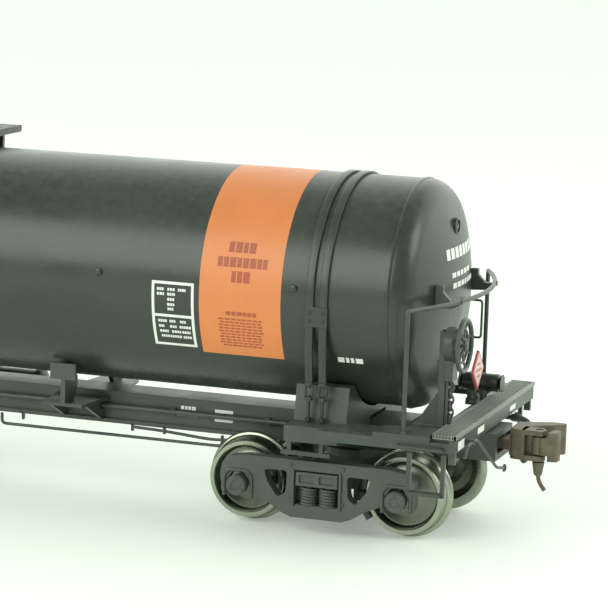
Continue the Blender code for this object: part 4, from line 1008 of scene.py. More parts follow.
class WAGON_OT_dome(bpy.types.Operator):
    """Manway neck and lid, safety valve, top platform and side ladders"""

    bl_idname = "wagon.dome"
    bl_label = "Manway, valve, platform and ladders"

    def execute(self, context):
        crown = TANK_Z + TANK_R
        top = crown + 3.2 * MM
        neck = [
            (crown - 0.6 * MM, 0), (crown - 0.6 * MM, 4.5 * MM), (crown + 0.3 * MM, 4.05 * MM),
            (top - 0.6 * MM, 4.0 * MM)
        ]
        neck += [(top - 0.5 * MM, 4.6 * MM), (top - 0.04 * MM, 4.6 * MM), (top, 4.5 * MM), (top, 0)]
        tank_fitting("manway_collar", turned(neck, "z", steps=96), "manway_neck")
        low = top + 0.03 * MM
        t = np.linspace(0, math.pi / 2, 10)
        dome = np.stack([low + 0.5 * MM + 0.95 * MM * np.sin(t), 4.2 * MM * np.cos(t)], -1)
        lid = turned(
            np.vstack([[low, 0], [low, 4.6 * MM], [low + 0.45 * MM, 4.6 * MM], dome]), "z", steps=96
        )
        dogs = []
        for angle in np.radians(np.arange(30, 390, 60)):
            x, y = 4.1 * MM * math.cos(angle), 4.1 * MM * math.sin(angle)
            dogs.append(tube([(x, y, low + 0.2 * MM), (x, y, low + 1.2 * MM)], 0.22 * MM, (1, 0, 0), 12))
            dogs.append(plate(ring(0.42 * MM, 6) + (x, y), low + 0.5 * MM, low + 0.85 * MM, "z"))
        tank_fitting("manway_cover", joined(lid, *dogs), "manway_lid")
        x = (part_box("safety_valve")[0].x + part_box("safety_valve")[1].x) / 2
        valve = [
            (-0.3, 0), (-0.3, 1.5), (0.9, 1.5), (0.95, 1.0), (2.2, 0.95), (2.3, 1.2), (2.6, 1.2),
            (2.7, 0.95), (3.4, 1.0), (3.45, 1.35), (3.8, 1.3), (4.2, 0.8), (4.2, 0)
        ]
        valve = np.array(valve) * MM + (crown, 0)
        tank_fitting("relief_valve", turned(valve, "z", (x, 0, 0), 48), "safety_valve")
        self.platform(crown)
        self.ladders(crown)
        return {"FINISHED"}

    def platform(self, crown):
        """Deck plate with rows of round drain holes in rings, set in an edge angle, on four legs."""
        low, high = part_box("top_platform")
        level = (crown + 1.5 * MM, crown + 2.0 * MM)
        outline = bent(
            [(low.x, low.y), (high.x, low.y), (high.x, high.y), (low.x, high.y)], 0.5 * MM, 4, closed=True
        )
        holes = [ring(4.85 * MM, 64), ring(1.9 * MM, 32) + mm(-7.6, 0)]
        for x in np.arange(-10.0, 10.1, 1.25):
            for y in np.arange(-8.4, 8.5, 1.2):
                if math.hypot(x, y) > 5.6 and math.hypot(x + 7.6, y) > 2.6:
                    holes.append(ring(0.3 * MM, 8) + mm(x, y))
        deck = plate(outline, *level, "z", holes)
        edge = carried(
            rounded_bar(0.3 * MM, 0.8 * MM, 0.06 * MM), *self.edge(low, high, level[0] + 0.1 * MM),
            closed=True
        )
        legs = []
        for x in mm(-9, 9):
            for y in mm(-7, 7):
                foot = TANK_Z + math.sqrt(TANK_R**2 - y**2) - 0.1 * MM
                legs.append(block(around(x, 0.3), around(y, 0.3), (foot, level[0] + 0.2 * MM)))
        frame_fitting("platform_deck", joined(deck, edge, *legs), "top_platform")

    def edge(self, low, high, z):
        """The platform's edge as a path, with the directions out and up along it."""
        inset = 0.16 * MM
        flat = bent(
            [
                (low.x + inset, low.y + inset), (high.x - inset, low.y + inset),
                (high.x - inset, high.y - inset), (low.x + inset, high.y - inset)
            ],
            0.5 * MM, 4, closed=True
        )
        path = np.column_stack([flat, np.full(len(flat), z)])
        run = unit(np.roll(path, -1, 0) - np.roll(path, 1, 0))
        return path, np.cross(run, (0, 0, 1)), (0, 0, 1)

    def ladders(self, crown):
        """Two bent rails and their rungs, on a foot bracket from the sill."""
        half = 2.4 * MM
        y = 15.4 * MM
        foot = above_rail(12.2)
        shapes = []
        for x in (-half, half):
            corners = [
                (x, -9.6 * MM, crown + 1.75 * MM), (x, -12.4 * MM, crown - 0.45 * MM),
                (x, -y, TANK_Z + 6 * MM), (x, -y, foot)
            ]
            shapes.append(tube(bent(corners, 1.5 * MM, 8), 0.28 * MM, (1, 0, 0), 12))
        for i in range(8):
            z = foot + (0.4 + 2.7 * i) * MM
            shapes.append(tube([(-half, -y, z), (half, -y, z)], 0.18 * MM, (0, 0, 1), 10))
        shapes.append(
            block(
                (-half - 0.25 * MM, half + 0.25 * MM), (-y - 0.15 * MM, -2.9 * MM), (foot - 0.4 * MM, foot)
            )
        )
        right = joined(*shapes)
        frame_fitting("ladder_right_rails", right, "ladder_right")
        frame_fitting("ladder_left_rails", scaled(right, (1, -1, 1)), "ladder_left")


# ------------------------------------------------------------------ underframe


class WAGON_OT_underframe(bpy.types.Operator):
    """Pipes, clips and hangers on the sill, pull rod, brake cylinder and outlet"""

    bl_idname = "wagon.underframe"
    bl_label = "Sill details"

    def execute(self, context):
        low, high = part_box("train_pipe")
        y, z = (low.y + high.y) / 2, (low.z + high.z) / 2
        pipe = tube([(low.x, y, z), (high.x, y, z)], 0.3 * MM, (0, 0, 1), 16)
        clips = []
        for x in np.arange(-50, 51, 12.5) * MM:
            clips.append(block(around(x, 0.3), (y - 0.1 * MM, -WEB_Y), around(z, 0.42)))
        frame_fitting("air_pipe", joined(pipe, *clips), "train_pipe")
        low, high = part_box("brake_rod")
        y, z = (low.y + high.y) / 2, low.z + 0.22 * MM
        corners = [
            (low.x + 0.22 * MM, y, high.z), (low.x + 0.22 * MM, y, z), (high.x - 0.22 * MM, y, z),
            (high.x - 0.22 * MM, y, high.z)
        ]
        frame_fitting("pull_rod", tube(bent(corners, 0.6 * MM), 0.2 * MM, (0, 1, 0), 12), "brake_rod")
        self.hangers()
        self.cylinder()
        return {"FINISHED"}

    def hangers(self):
        """Small hangers and a thin pipe along the sill's right side."""
        bottom = SILL_BOTTOM
        shapes = []
        for x in (-36.3, -32.0, -17.0, 17.0, 32.0, 36.3):
            shapes.append(
                block(
                    ((x - 0.15) * MM, (x + 0.15) * MM), mm(-2.8, -2.3),
                    (bottom - 0.8 * MM, bottom + 0.2 * MM)
                )
            )
        pipe = [(32.0, -0.3), (36.0, -0.4), (43.0, -0.9), (46.5, -0.5)]
        pipe = [(x * MM, -2.6 * MM, bottom + drop * MM) for x, drop in pipe]
        shapes.append(tube(bent(pipe, 1.5 * MM), 0.2 * MM, (0, 0, 1), 10))
        piece(
            "sill_hangers", joined(*shapes), "wagon_body", "frame paint",
            bevel=0.05 * MM
        )

    def cylinder(self):
        """Brake cylinder body with flanged ends and push rod, and the outlet under the sill."""
        low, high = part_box("brake_cylinder")
        y = high.y - 2.0 * MM
        z = above_rail(10.6)
        shape = [
            (0, 0), (0, 1.85), (0.1, 2.0), (0.7, 2.0), (0.8, 1.9), (0.8, 1.7), (6.4, 1.7), (6.4, 2.0),
            (7.1, 2.0), (7.2, 1.9), (7.6, 1.2), (7.6, 0.3), (11.0, 0.3), (11.0, 0)
        ]
        body = turned(np.array(shape) * MM + (low.x, 0), "x", (0, y, z), 48)
        pad = block((low.x + 1.5 * MM, low.x + 5.5 * MM), (2.4 * MM, y), around(z, 0.6))
        frame_fitting("brake_cylinder_body", joined(body, pad), "brake_cylinder")
        top = SILL_BOTTOM
        outlet = np.array(
            [
                (0, 0), (0, 2.3), (-0.5, 2.3), (-0.6, 2.2), (-0.6, 1.6), (-2.0, 1.6), (-2.0, 2.0),
                (-2.7, 2.0), (-3.0, 1.7), (-3.0, 0)
            ]
        ) * MM + (top, 0)
        frame_fitting("outlet_body", turned(outlet, "z", steps=48), "bottom_outlet")


class WAGON_OT_decks(bpy.types.Operator):
    """Walkway gratings and handrails at both ends, and deck fittings at the brake end"""

    bl_idname = "wagon.decks"
    bl_label = "End gratings and handrails"

    def execute(self, context):
        self.gratings()
        self.handrails(context.scene.wagon_sizes.wire)
        self.reservoir()
        return {"FINISHED"}

    def gratings(self):
        """Seven bars along the walkway, cross bars under their tops, and a frame round them."""
        low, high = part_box("end_grating_b")
        x0, x1 = low.x - TRUCK_X, high.x - TRUCK_X
        y0, y1 = low.y, high.y
        z0, z1 = low.z, high.z
        shapes = [
            block((x0, x0 + 0.22 * MM), (y0, y1), (z0 - 0.1 * MM, z1)),
            block((x1 - 0.22 * MM, x1), (y0, y1), (z0 - 0.1 * MM, z1)),
            block((x0, x1), (y0, y0 + 0.22 * MM), (z0 - 0.1 * MM, z1)),
            block((x0, x1), (y1 - 0.22 * MM, y1), (z0 - 0.1 * MM, z1)),
        ]
        for x in np.linspace(x0, x1, 9)[1:-1]:
            shapes.append(block(around(x, 0.07), (y0, y1), (z0, z1 - 0.02 * MM)))
        for y in np.linspace(y0, y1, 31)[1:-1]:
            shapes.append(block((x0, x1), around(y, 0.06), (z0, z1 - 0.16 * MM)))
        end_pieces(
            "walkway_{}_bars", joined(*shapes), "walkway paint", replaces=["end_grating_{}"]
        )

    def handrails(self, wire):
        """One wire: up a post, round the head as x = post + bulge (1 - y^2 / half^2), down the other post."""
        post_x, post_y, bulge = 11.8 * MM, 17.4 * MM, 4.3 * MM
        top = above_rail(28.3)
        y = np.linspace(-1, 1, 49)
        over = np.stack([post_x + bulge * (1 - y**2), post_y * y, 0 * y + top], -1)
        y0 = over[:1] + mm(0, 0, -1.0)
        corner = bent([y0[0], over[0], over[1]], 0.25 * MM, 5)
        other = scaled((corner[::-1], []), (1, -1, 1))[0]
        foot = np.array([[post_x, -post_y, DECK - 0.02 * MM]])
        path = np.vstack([foot, corner, over[2:-2], other, foot * (1, -1, 1)])
        shapes = [tube(path, wire, (1, 0, 0), 14)]
        clip_y = 7.7 * MM
        clip_x = post_x + bulge * (1 - (clip_y / post_y) ** 2)
        arm = [
            (12.3, 27.3), (14.6, 27.45), (15.35, 27.95), (15.35, 28.4), (14.2, 28.3), (13.2, 29.3),
            (13.2, 30.0), (12.3, 30.0)
        ]
        arm = np.array(arm) * MM + (0, RAIL)
        clips = [
            plate(bent(arm, 0.15 * MM, 3, closed=True), clip_y - 0.35 * MM, clip_y + 0.35 * MM, "y"),
            stud((clip_x + 0.2 * MM, clip_y, top), "x", 0.34 * MM, 0.22 * MM),
        ]
        shapes.append(both_hands(joined(*clips)))
        foot_ring = [
            tube([(post_x, -post_y, DECK), (post_x, -post_y, DECK + 0.35 * MM)], 0.45 * MM, (1, 0, 0), 12)
        ]
        shapes.append(both_hands(joined(*foot_ring)))
        end_pieces(
            "handrail_{}_wire", joined(*shapes), "frame paint", replaces=["handrail_{}"]
        )
        y = 4.4 * MM
        grab = [
            (12.6 * MM, y, above_rail(26.6)), (14.7 * MM, y, above_rail(26.6)),
            (14.7 * MM, y, above_rail(22.0)), (12.4 * MM, y, above_rail(22.0))
        ]
        wire_grab = tube(bent(grab, 0.4 * MM), 0.15 * MM, (0, 1, 0), 10)
        frame_fitting("head_grab_wire", at_end(wire_grab, "b"), "head_grab_iron")

    def reservoir(self):
        """Small drum with domed ends and two bands, on two feet."""
        low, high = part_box("air_reservoir")
        x0, x1 = low.x - TRUCK_X, high.x - TRUCK_X
        y, z, radius = 7.0 * MM, above_rail(16.05), 1.1 * MM
        t = np.linspace(0, math.pi / 2, 8)
        left = np.stack([x0 + 0.5 * MM * (1 - np.sin(t)), radius * (1 - (1 - np.sin(t)) ** 2) ** 0.5], -1)
        profile = np.vstack(
            [
                [x0, 0], left[::-1], [x0 + 0.5 * MM, radius], [x1 - 0.5 * MM, radius],
                left * (-1, 1) + (x0 + x1, 0), [x1, 0]
            ]
        )
        shapes = [turned(profile, "x", (0, y, z), 48)]
        for at in mm(13.0, 14.6):
            shapes.append(block(around(at, 0.25), around(y, 0.8), (DECK, z - 0.4 * MM)))
            shapes.append(
                turned(
                    [
                        (at - 0.2 * MM, radius - 0.05 * MM), (at - 0.2 * MM, radius + 0.06 * MM),
                        (at + 0.2 * MM, radius + 0.06 * MM), (at + 0.2 * MM, radius - 0.05 * MM)
                    ],
                    "x", (0, y, z), 48, loop=True
                )
            )
        tank_fitting("reservoir_drum", at_end(joined(*shapes), "b"), "air_reservoir")


class WAGON_OT_hand_brake(bpy.types.Operator):
    """Hand brake stand, gear housing, chain and wheel"""

    bl_idname = "wagon.hand_brake"
    bl_label = "Hand brake"

    def execute(self, context):
        y, z = -11.3 * MM, above_rail(23.8)
        floor = DECK
        post = [
            block(mm(14.2, 14.45), around(y, 0.7), (floor, above_rail(25.4))),
            block(mm(14.45, 15.0), (y - 0.7 * MM, y - 0.5 * MM), (floor, above_rail(25.4))),
            block(mm(14.45, 15.0), (y + 0.5 * MM, y + 0.7 * MM), (floor, above_rail(25.4))),
            block(mm(11.3, 15.1), around(y, 1), (floor, floor + 0.3 * MM)),
        ]
        brace = plate(
            [(14.4 * MM, floor + 4.6 * MM), (11.5 * MM, floor + 0.2 * MM), (14.4 * MM, floor + 0.2 * MM)],
            y - 0.3 * MM, y - 0.1 * MM, "y"
        )
        piece(
            "brake_post", at_end(joined(*post, brace), "b"), "wagon_body", "frame paint", ["brake_stand"],
            bevel=0.05 * MM
        )
        x0, x1 = 15.0 * MM, 16.4 * MM
        t = np.linspace(0, math.pi / 2, 8)
        crown = np.stack([x1 - 0.5 * MM + 0.5 * MM * np.sin(t), 1.6 * MM + 0.5 * MM * np.cos(t)], -1)
        profile = np.vstack(
            [
                [x0, 0], [x0, 2.1 * MM], crown, [x1, 0.8 * MM], [x1 + 0.05 * MM, 0.5 * MM],
                [x1 + 0.05 * MM, 0]
            ]
        )
        housing = turned(profile, "x", (0, y, z), 48)
        lower = block((x0, x1 - 0.4 * MM), around(y, 1.1), (z - 4.2 * MM, z))
        links = []
        for i, level in enumerate(np.arange(DECK + 0.7 * MM, z - 4.2 * MM, 0.75 * MM)):
            t = np.linspace(0, 2 * math.pi, 16, endpoint=False)
            flat = np.stack([0 * t, 0.33 * MM * np.cos(t), 0.55 * MM * np.sin(t)], -1)
            if i % 2:
                flat = flat[:, (1, 0, 2)]
            normal = (0, 1, 0) if i % 2 else (1, 0, 0)
            links.append(tube(flat + (15.6 * MM, y, level + 0.3 * MM), 0.15 * MM, normal, 6, closed=True))
        guide = block(mm(15.05, 15.4), around(y, 0.55), (DECK + 0.02 * MM, z - 4.1 * MM))
        gear = joined(housing, lower, guide, *links)
        piece(
            "brake_housing", at_end(gear, "b"), "wagon_body", "frame paint", ["brake_gear_box"],
            bevel=0.04 * MM
        )
        self.wheel(y, z)
        return {"FINISHED"}

    def wheel(self, y, z):
        """Round rim, an inner ring, eight spokes that dish back to the hub, hub nut and shaft."""
        x = 17.0 * MM
        radius, rim = 3.3 * MM, 0.3 * MM
        shapes = [turned(ring(rim, 12) * (1, 1) + (0, radius - rim), "x", steps=72, loop=True)]
        shapes.append(turned(ring(0.16 * MM, 8) * (1, 1) + mm(-0.2, 2.0), "x", steps=60, loop=True))
        for i in range(8):
            angle = 2 * math.pi * i / 8 + 0.3
            out = np.array([0, math.cos(angle), math.sin(angle)])
            reach = np.linspace(0.4, 3.0, 8)[:, None] * MM
            dish = -0.25 * MM * np.sin(math.pi * (reach - 0.4 * MM) / (2.6 * MM))
            path = reach * out + dish * (1, 0, 0)
            across = np.cross(out, (1, 0, 0))
            shapes.append(carried(ring(0.2 * MM, 8, 0.7), path, across, (1, 0, 0)))
        shapes.append(
            turned(
                np.array(
                    [
                        (-0.35, 0), (-0.35, 0.5), (-0.2, 0.62), (0.2, 0.62), (0.35, 0.45), (0.42, 0.3),
                        (0.42, 0)
                    ]
                ) * MM,
                "x", steps=32
            )
        )
        shapes.append(turned(np.array([(-1.3, 0), (-1.3, 0.35), (0, 0.35), (0, 0)]) * MM, "x", steps=24))
        wheel = shifted(joined(*shapes), (x, y, z))
        piece(
            "brake_hand_wheel", at_end(wheel, "b"), "brake_wheel", "frame paint", ["brake_wheel"],
        )


class WAGON_OT_end_fittings(bpy.types.Operator):
    """Notice plates, air hoses and uncoupling levers"""

    bl_idname = "wagon.end_fittings"
    bl_label = "End fittings"

    def execute(self, context):
        y, z, half = 2.8 * MM, above_rail(18.3), 2.5 * MM
        diamond = np.array([(y, z - half), (y + half, z), (y, z + half), (y - half, z)])
        outline = bent(diamond, 0.25 * MM, 4, closed=True)
        middle = np.array([y, z])
        inner = (bent(diamond, 0.3 * MM, 4, closed=True) - middle) * 0.83 + middle
        border = plate(outline, 14.7 * MM, 15.0 * MM, "x")
        end_pieces(
            "notice_{}_plate", border, "notice red", replaces=["placard_{}"], bevel=0.03 * MM
        )
        face = plate(inner, 14.98 * MM, 15.03 * MM, "x")
        end_pieces("notice_{}_field", face, "notice field")
        bars = []
        for row, reach in ((0.75, 0.6), (0.0, 1.15), (-0.75, 0.6)):
            bars.append(
                block(mm(15.02, 15.05), around(y, reach), (z + (row - 0.14) * MM, z + (row + 0.14) * MM))
            )
        end_pieces("notice_{}_bars", joined(*bars), "notice red")
        stem = joined(
            block(mm(14.55, 14.8), around(y, 0.3), (DECK, z + 1.2 * MM)),
            block(mm(14.0, 15.0), around(y, 0.5), (DECK, DECK + 0.4 * MM)),
            stud((14.9 * MM, y, DECK + 1.1 * MM), "x", 0.4 * MM, 0.3 * MM),
        )
        end_pieces("notice_{}_stem", stem, "frame paint", bevel=0.04 * MM)
        self.hoses()
        self.levers()
        return {"FINISHED"}

    def hoses(self):
        """Pipe end, angle cock with its handle, and the hose hanging to its coupling."""
        y, z = 8.6 * MM, above_rail(11.6)
        pipe = tube([(15.4 * MM, y, z), (18.4 * MM, y, z)], 0.3 * MM, (0, 0, 1), 14)
        cock = turned(
            np.array([(17.9, 0), (17.9, 0.42), (18.1, 0.5), (19.0, 0.5), (19.2, 0.4), (19.3, 0)]) * MM, "x",
            (0, y, z), 20
        )
        handle = tube(
            [(18.6 * MM, y, z), (18.6 * MM, y, z + 0.7 * MM), (18.6 * MM, y - 1.0 * MM, z + 0.8 * MM)],
            0.12 * MM, (1, 0, 0), 8
        )
        corners = [
            (19.1 * MM, y, z), (20.3 * MM, y, z - 0.4 * MM), (20.6 * MM, y - 0.5 * MM, z - 3.2 * MM),
            (20.2 * MM, y - 1.4 * MM, z - 4.6 * MM)
        ]
        hose = tube(bent(corners, 0.9 * MM, 8), 0.36 * MM, (0, 1, 0.2), 16)
        hand = turned(
            np.array([(-1.0, 0), (-1.0, 0.3), (-0.8, 0.42), (0.3, 0.42), (0.5, 0.3), (0.5, 0)]) * MM, "y",
            (20.2 * MM, y - 1.3 * MM, z - 4.75 * MM), 18
        )
        end_pieces(
            "air_hose_{}_line", joined(pipe, cock, handle, hose, hand), "frame paint",
            replaces=["air_hose_{}"]
        )

    def levers(self):
        """Bent lever wire on its bracket, ending in a small eye beside the coupler."""
        z = above_rail(12.9)
        x = 19.0 * MM
        corners = [
            (x, -16.6 * MM, z - 1.2 * MM), (x, -15.4 * MM, z), (x, -11.5 * MM, z),
            (20.0 * MM, -5.6 * MM, above_rail(8.4)), (20.0 * MM, -2.4 * MM, above_rail(7.7))
        ]
        lever = tube(bent(corners, 0.7 * MM, 6), 0.18 * MM, (1, 0, 0), 10)
        t = np.linspace(0, 2 * math.pi, 24, endpoint=False)
        eye = np.stack(
            [0 * t + 20.0 * MM, -1.95 * MM + 0.5 * MM * np.cos(t), above_rail(7.6) + 0.35 * MM * np.sin(t)],
            -1
        )
        loop = tube(eye, 0.14 * MM, (1, 0, 0), 8, closed=True)
        bracket = block(mm(18.2, 19.2), mm(-13.6, -12.9), around(z, 0.35))
        end_pieces(
            "lever_{}_wire", joined(lever, loop, bracket), "frame paint",
            replaces=["uncoupling_lever_{}"]
        )


class WAGON_OT_couplers(bpy.types.Operator):
    """Browned couplers and their knuckles"""

    bl_idname = "wagon.couplers"
    bl_label = "Couplers"

    def execute(self, context):
        low, high = above_rail(8.9), above_rail(12.6)
        shank = (above_rail(9.75), above_rail(11.0))
        bar = block(mm(13.4, 21.6), mm(-1.3, 1.3), shank)
        eye = plate(ring(2.0 * MM, 40) + mm(12.2, 0), *shank, "z", [ring(1.0 * MM, 32) + mm(12.2, 0)])
        collar = block(mm(20.4, 21.0), mm(-1.75, 1.75), (low + 0.35 * MM, high - 0.9 * MM))
        head = np.array(
            [
                (20.6, -2.1), (22.4, -2.5), (22.6, -0.1), (23.6, 1.0), (24.9, 1.7), (26.2, 2.9),
                (26.2, 3.5), (24.6, 3.6), (22.4, 2.7), (20.6, 2.0)
            ]
        ) * MM
        body = plate(bent(head, 0.3 * MM, 4, closed=True), low, high, "z")
        ear = np.array([(22.0, -2.45), (24.6, -2.5), (24.9, -1.4), (24.3, -0.4), (22.0, -0.1)]) * MM
        pin_hole = ring(0.5 * MM, 20) + mm(24.0, -1.35)
        ears = [
            plate(bent(ear, 0.3 * MM, 4, closed=True), z, z + 0.6 * MM, "z", [pin_hole])
            for z in (low, high - 0.6 * MM)
        ]
        end_pieces(
            "coupler_{}_head", joined(bar, eye, collar, body, *ears), "browned coupler",
            "coupler_{}", ["coupler_{}"], 0.1 * MM
        )
        self.knuckle(low, high)
        return {"FINISHED"}

    def knuckle(self, low, high):
        """Hooked knuckle, its pin with a domed head, the tapered boss under it and the bent trip wire."""
        at = mm(24.0, -1.35)
        tang = (low + 0.8 * MM, high - 0.8 * MM)
        nose = np.array(
            [
                (0.3, -1.1), (1.3, -1.25), (2.45, -0.95), (2.55, 0.5), (2.1, 1.05), (1.5, 0.75),
                (1.35, 0.2), (0.4, 0.75)
            ]
        ) * MM + at
        lip = np.array([(1.25, -1.2), (2.45, -0.95), (2.55, 0.5), (2.1, 1.05), (1.5, 0.75)]) * MM + at
        shapes = [
            plate(ring(0.95 * MM, 32) + at, *tang, "z"),
            plate(bent(nose, 0.18 * MM, 4, closed=True), *tang, "z"),
            plate(bent(lip, 0.2 * MM, 4, closed=True), low + 0.1 * MM, high - 0.1 * MM, "z"),
        ]
        pin = np.array([(-0.3, 0), (-0.3, 0.4), (3.45, 0.4), (3.6, 0.3), (3.65, 0)]) * MM + (low, 0)
        boss = np.array([(-1.9, 0), (-1.9, 0.42), (-1.7, 0.52), (-0.25, 0.75), (-0.25, 0)]) * MM + (low, 0)
        shapes += [turned(pin, "z", (*at, 0), 24), turned(boss, "z", (*at, 0), 24)]
        corners = [(0, 0, -1.5), (0.1, 0, -2.6), (0.9, 0, -3.7)]
        path = np.array(corners) * MM + (*at, low)
        shapes.append(tube(bent(path, 0.6 * MM, 6), 0.26 * MM, (0, 1, 0), 14))
        end_pieces(
            "knuckle_{}_hook", joined(*shapes), "browned coupler", "knuckle_{}",
            ["knuckle_{}"], 0.08 * MM
        )


# ------------------------------------------------------------------ running gear


class WAGON_OT_trucks(bpy.types.Operator):
    """Cast side frames with springs and bearing caps, and brake beams"""

    bl_idname = "wagon.trucks"
    bl_label = "Trucks"

    def execute(self, context):
        side = joined(*self.casting(), *self.fittings())
        for letter in "ba":
            for hand, shape in (("left", side), ("right", scaled(side, (1, -1, 1)))):
                piece(
                    f"truck_{letter}_{hand}_side", at_end(shape, letter), f"truck_{letter}",
                    "truck plastic", [f"side_frame_{letter}_{hand}"], bevel=0.09 * MM
                )
            springs = both_hands(joined(*self.springs()))
            piece(
                f"truck_{letter}_springs", at_end(springs, letter), f"truck_{letter}", "truck plastic",
            )
            beams = [
                block(x, mm(-9.5, 9.5), (above_rail(3.4), above_rail(6.4)))
                for x in (mm(-4.1, -3.5), mm(3.5, 4.1))
            ]
            piece(
                f"truck_{letter}_brake_beams", at_end(joined(*beams), letter), f"truck_{letter}",
                "truck plastic", bevel=0.1 * MM
            )
        return {"FINISHED"}

    def casting(self):
        """A plate with its spring window, side and bearing openings."""
        y0, y1 = 11.4 * MM, 13.0 * MM
        half = [
            (9.0, 8.5), (11.2, 8.15), (12.1, 7.2), (12.1, 3.9), (11.75, 3.4), (11.4, 3.4), (11.4, 5.3),
            (10.7, 6.3)
        ]
        half += [(9.2, 6.3), (8.5, 5.3), (8.5, 3.5), (8.1, 3.9), (6.2, 3.1), (4.4, 1.95), (3.2, 1.5)]
        half = np.array(half)
        outline = np.vstack([half, (half * (-1, 1))[::-1]]) * MM + (0, RAIL)
        outline = bent(outline, 0.2 * MM, 4, closed=True)
        window = bent(
            np.array([(-2.8, 3.0), (2.8, 3.0), (2.8, 7.3), (-2.8, 7.3)]) * MM + (0, RAIL), 0.3 * MM, 4,
            closed=True
        )
        gap = np.array([(3.75, 7.1), (6.7, 7.05), (6.3, 5.6), (4.9, 3.7), (3.9, 4.4)]) * MM
        gap = bent(gap, 0.5 * MM, 5, closed=True)
        frame_plate = plate(outline, y0, y1, "y", [window, gap + (0, RAIL), gap * (-1, 1) + (0, RAIL)])
        return [frame_plate]

    def fittings(self):
        """Bearing caps with bolts in their rims and raised edges round them, spring seat, bolster end, column
        bolts and ribs.
        """
        shapes = []
        face = 13.0 * MM
        for x in (-HALF_BASE, HALF_BASE):
            centre = (x, 0, AXLE_Z)
            cap = np.array(
                [(-0.3, 0), (-0.3, 1.25), (0.75, 1.25), (0.9, 1.1), (0.9, 0.62), (0.8, 0.55), (0.8, 0)]
            ) * MM + (face, 0)
            shapes.append(turned(cap, "y", centre, 40))
            for angle in np.radians((90, 210, 330)):
                at = (
                    x + 0.85 * MM * math.cos(angle), face + 0.85 * MM, AXLE_Z + 0.85 * MM * math.sin(angle)
                )
                shapes.append(stud(at, "y", 0.2 * MM, 0.16 * MM))
            jaw = np.array(
                [(-1.75, -1.5), (-1.75, 1.0), (-1.2, 1.75), (1.2, 1.75), (1.75, 1.0), (1.75, -1.5)]
            ) * MM
            path = bent(jaw, 0.3 * MM, 4)
            path3 = np.column_stack([path[:, 0] + x, np.full(len(path), face), path[:, 1] + AXLE_Z])
            run = unit(np.gradient(path3, axis=0))
            shapes.append(
                carried(
                    rounded_bar(0.3 * MM, 0.5 * MM, 0.1 * MM), path3, np.cross(run, (0, 1, 0)), (0, 1, 0)
                )
            )
        z = RAIL
        end_face = np.array([(-2.6, 5.45), (2.6, 5.45), (2.6, 7.1), (-2.6, 7.1)]) * MM + (0, z)
        pocket = bent(
            np.array([(0.3, 5.8), (2.2, 5.8), (2.2, 6.8), (0.3, 6.8)]) * MM, 0.2 * MM, 3, closed=True
        )
        pockets = [pocket + (0, z), pocket * (-1, 1) + (0, z)]
        shapes.append(plate(end_face, 12.4 * MM, 13.15 * MM, "y", pockets))
        shapes.append(block(mm(-2.6, 2.6), mm(11.6, 12.15), (z + 5.2 * MM, z + 7.1 * MM)))
        shapes.append(block(mm(-2.7, 2.7), mm(11.7, 12.95), (z + 2.7 * MM, z + 3.1 * MM)))
        shapes.append(block(mm(-2.85, 2.85), mm(11.35, 11.6), (z + 2.9 * MM, z + 5.5 * MM)))
        for x in (-3.3, 3.3):
            for level in (3.6, 7.9):
                shapes.append(stud((x * MM, face, z + level * MM), "y", 0.22 * MM, 0.18 * MM))
        for x in (-2.95, 2.95):
            rib = block(((x - 0.14) * MM, (x + 0.14) * MM), mm(12.9, 13.25), (z + 2.9 * MM, z + 7.4 * MM))
            shapes.append(rib)
        return shapes

    def springs(self):
        """Two coils in each window, each round a plain column."""
        shapes = []
        for x in mm(-1.2, 1.2):
            shapes.append(coil((x, 12.2 * MM, above_rail(3.15)), 0.88 * MM, 0.17 * MM, 6, 2.15 * MM))
            shapes.append(
                turned(
                    [
                        (above_rail(3.0), 0), (above_rail(3.0), 0.4 * MM), (above_rail(5.3), 0.4 * MM),
                        (above_rail(5.3), 0)
                    ],
                    "z", (x, 12.2 * MM, 0), 16
                )
            )
        return shapes


class WAGON_OT_wheelsets(bpy.types.Operator):
    """Turned wheels on their axles"""

    bl_idname = "wagon.wheelsets"
    bl_label = "Wheelsets"

    def execute(self, context):
        steps = context.scene.wagon_sizes.wheel_steps
        half = self.profile()
        profile = np.vstack([half[::-1] * (-1, 1), half])
        for letter in "ba":
            for position in ("outer", "inner"):
                name = f"wheelset_{letter}_{position}"
                low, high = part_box(name)
                centre = ((low.x + high.x) / 2, 0, AXLE_Z)
                piece(
                    f"{name}_turned", turned(profile, "y", centre, steps), name, "bright wheel", [name],
                    lathe=centre
                )
        return {"FINISHED"}

    def profile(self):
        """Axle's middle outward: hub, dished back, flange, coned tread, rim, dished front, hub, journal."""
        back, face = 7.25, 10.04
        t = np.linspace(0, math.pi, 7)
        flange = np.stack([back + 0.36 - 0.34 * np.cos(t), 5.05 + 0.4 * np.sin(t)], -1)
        flange[3, 1] = FLANGE_R / MM
        points = [
            (0, 1.0), (back - 0.5, 1.0), (back - 0.45, 1.5), (back + 0.1, 1.75), (back + 0.75, 2.4),
            (back + 0.8, 3.4), (back + 0.35, 4.1), (back, 4.25), (back, 5.0)
        ]
        points += flange.tolist()
        points += [
            (back + 0.85, 4.92), (back + 1.0, TREAD_R / MM + 0.07), (face - 0.12, TREAD_R / MM - 0.07),
            (face, TREAD_R / MM - 0.17), (face, 4.2)
        ]
        points += [
            (face - 0.06, 4.12), (face - 0.8, 4.0), (face - 1.1, 3.8), (face - 1.12, 3.5),
            (face - 0.9, 2.9), (face - 0.62, 2.2), (face - 0.42, 1.62)
        ]
        points += [(face - 0.1, 1.5), (face, 1.35), (face, 0.8), (12.2, 0.8), (12.3, 0.7), (12.3, 0)]
        return np.array(points) * MM


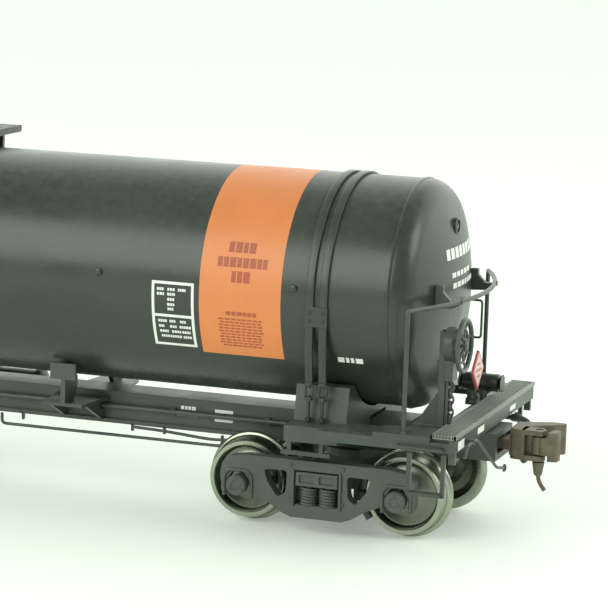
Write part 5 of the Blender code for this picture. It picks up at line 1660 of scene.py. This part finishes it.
class WAGON_OT_frame_finish(bpy.types.Operator):
    """Detailed finishes for the frame's own pieces that stay in view"""

    bl_idname = "wagon.frame_finish"
    bl_label = "Finish the frame's pieces"

    def execute(self, context):
        coats = {"truck_bolster": "truck plastic", "kingpin": "screw steel", "ballast": "screw steel"}
        for name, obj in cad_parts.items():
            if obj.hide_render:
                continue
            coat = next((value for key, value in coats.items() if name.startswith(key)), "frame paint")
            if not obj.data.materials:
                obj.data.materials.append(None)
            for index in range(len(obj.data.materials)):
                obj.data.materials[index] = finish(coat)
        return {"FINISHED"}


# ------------------------------------------------------------------ panel and registration


STEPS = (
    "stage",
    "tank",
    "straps",
    "markings",
    "dome",
    "underframe",
    "decks",
    "hand_brake",
    "end_fittings",
    "couplers",
    "trucks",
    "wheelsets",
    "frame_finish",
)


class WAGON_PT_panel(bpy.types.Panel):
    """The wagon's steps and settings"""

    bl_label = "Tank Wagon"
    bl_idname = "WAGON_PT_panel"
    bl_space_type = "VIEW_3D"
    bl_region_type = "UI"
    bl_category = "Tank Wagon"

    def draw(self, context):
        for step in STEPS:
            self.layout.operator(f"wagon.{step}")
        for group in (context.scene.wagon_colours, context.scene.wagon_sizes, context.scene.wagon_stage):
            box = self.layout.box()
            for name in group.__annotations__:
                box.prop(group, name)


CLASSES = (
    WagonColours,
    WagonSizes,
    WagonStage,
    WAGON_OT_stage,
    WAGON_OT_tank,
    WAGON_OT_straps,
    WAGON_OT_markings,
    WAGON_OT_dome,
    WAGON_OT_underframe,
    WAGON_OT_decks,
    WAGON_OT_hand_brake,
    WAGON_OT_end_fittings,
    WAGON_OT_couplers,
    WAGON_OT_trucks,
    WAGON_OT_wheelsets,
    WAGON_OT_frame_finish,
    WAGON_PT_panel,
)


def register():
    for each in CLASSES:
        bpy.utils.register_class(each)
    bpy.types.Scene.wagon_colours = PointerProperty(type=WagonColours)
    bpy.types.Scene.wagon_sizes = PointerProperty(type=WagonSizes)
    bpy.types.Scene.wagon_stage = PointerProperty(type=WagonStage)


def unregister():
    del bpy.types.Scene.wagon_stage
    del bpy.types.Scene.wagon_sizes
    del bpy.types.Scene.wagon_colours
    for each in reversed(CLASSES):
        bpy.utils.unregister_class(each)


def main():
    register()
    for step in STEPS:
        getattr(bpy.ops.wagon, step)()


if __name__ == "__main__":
    main()
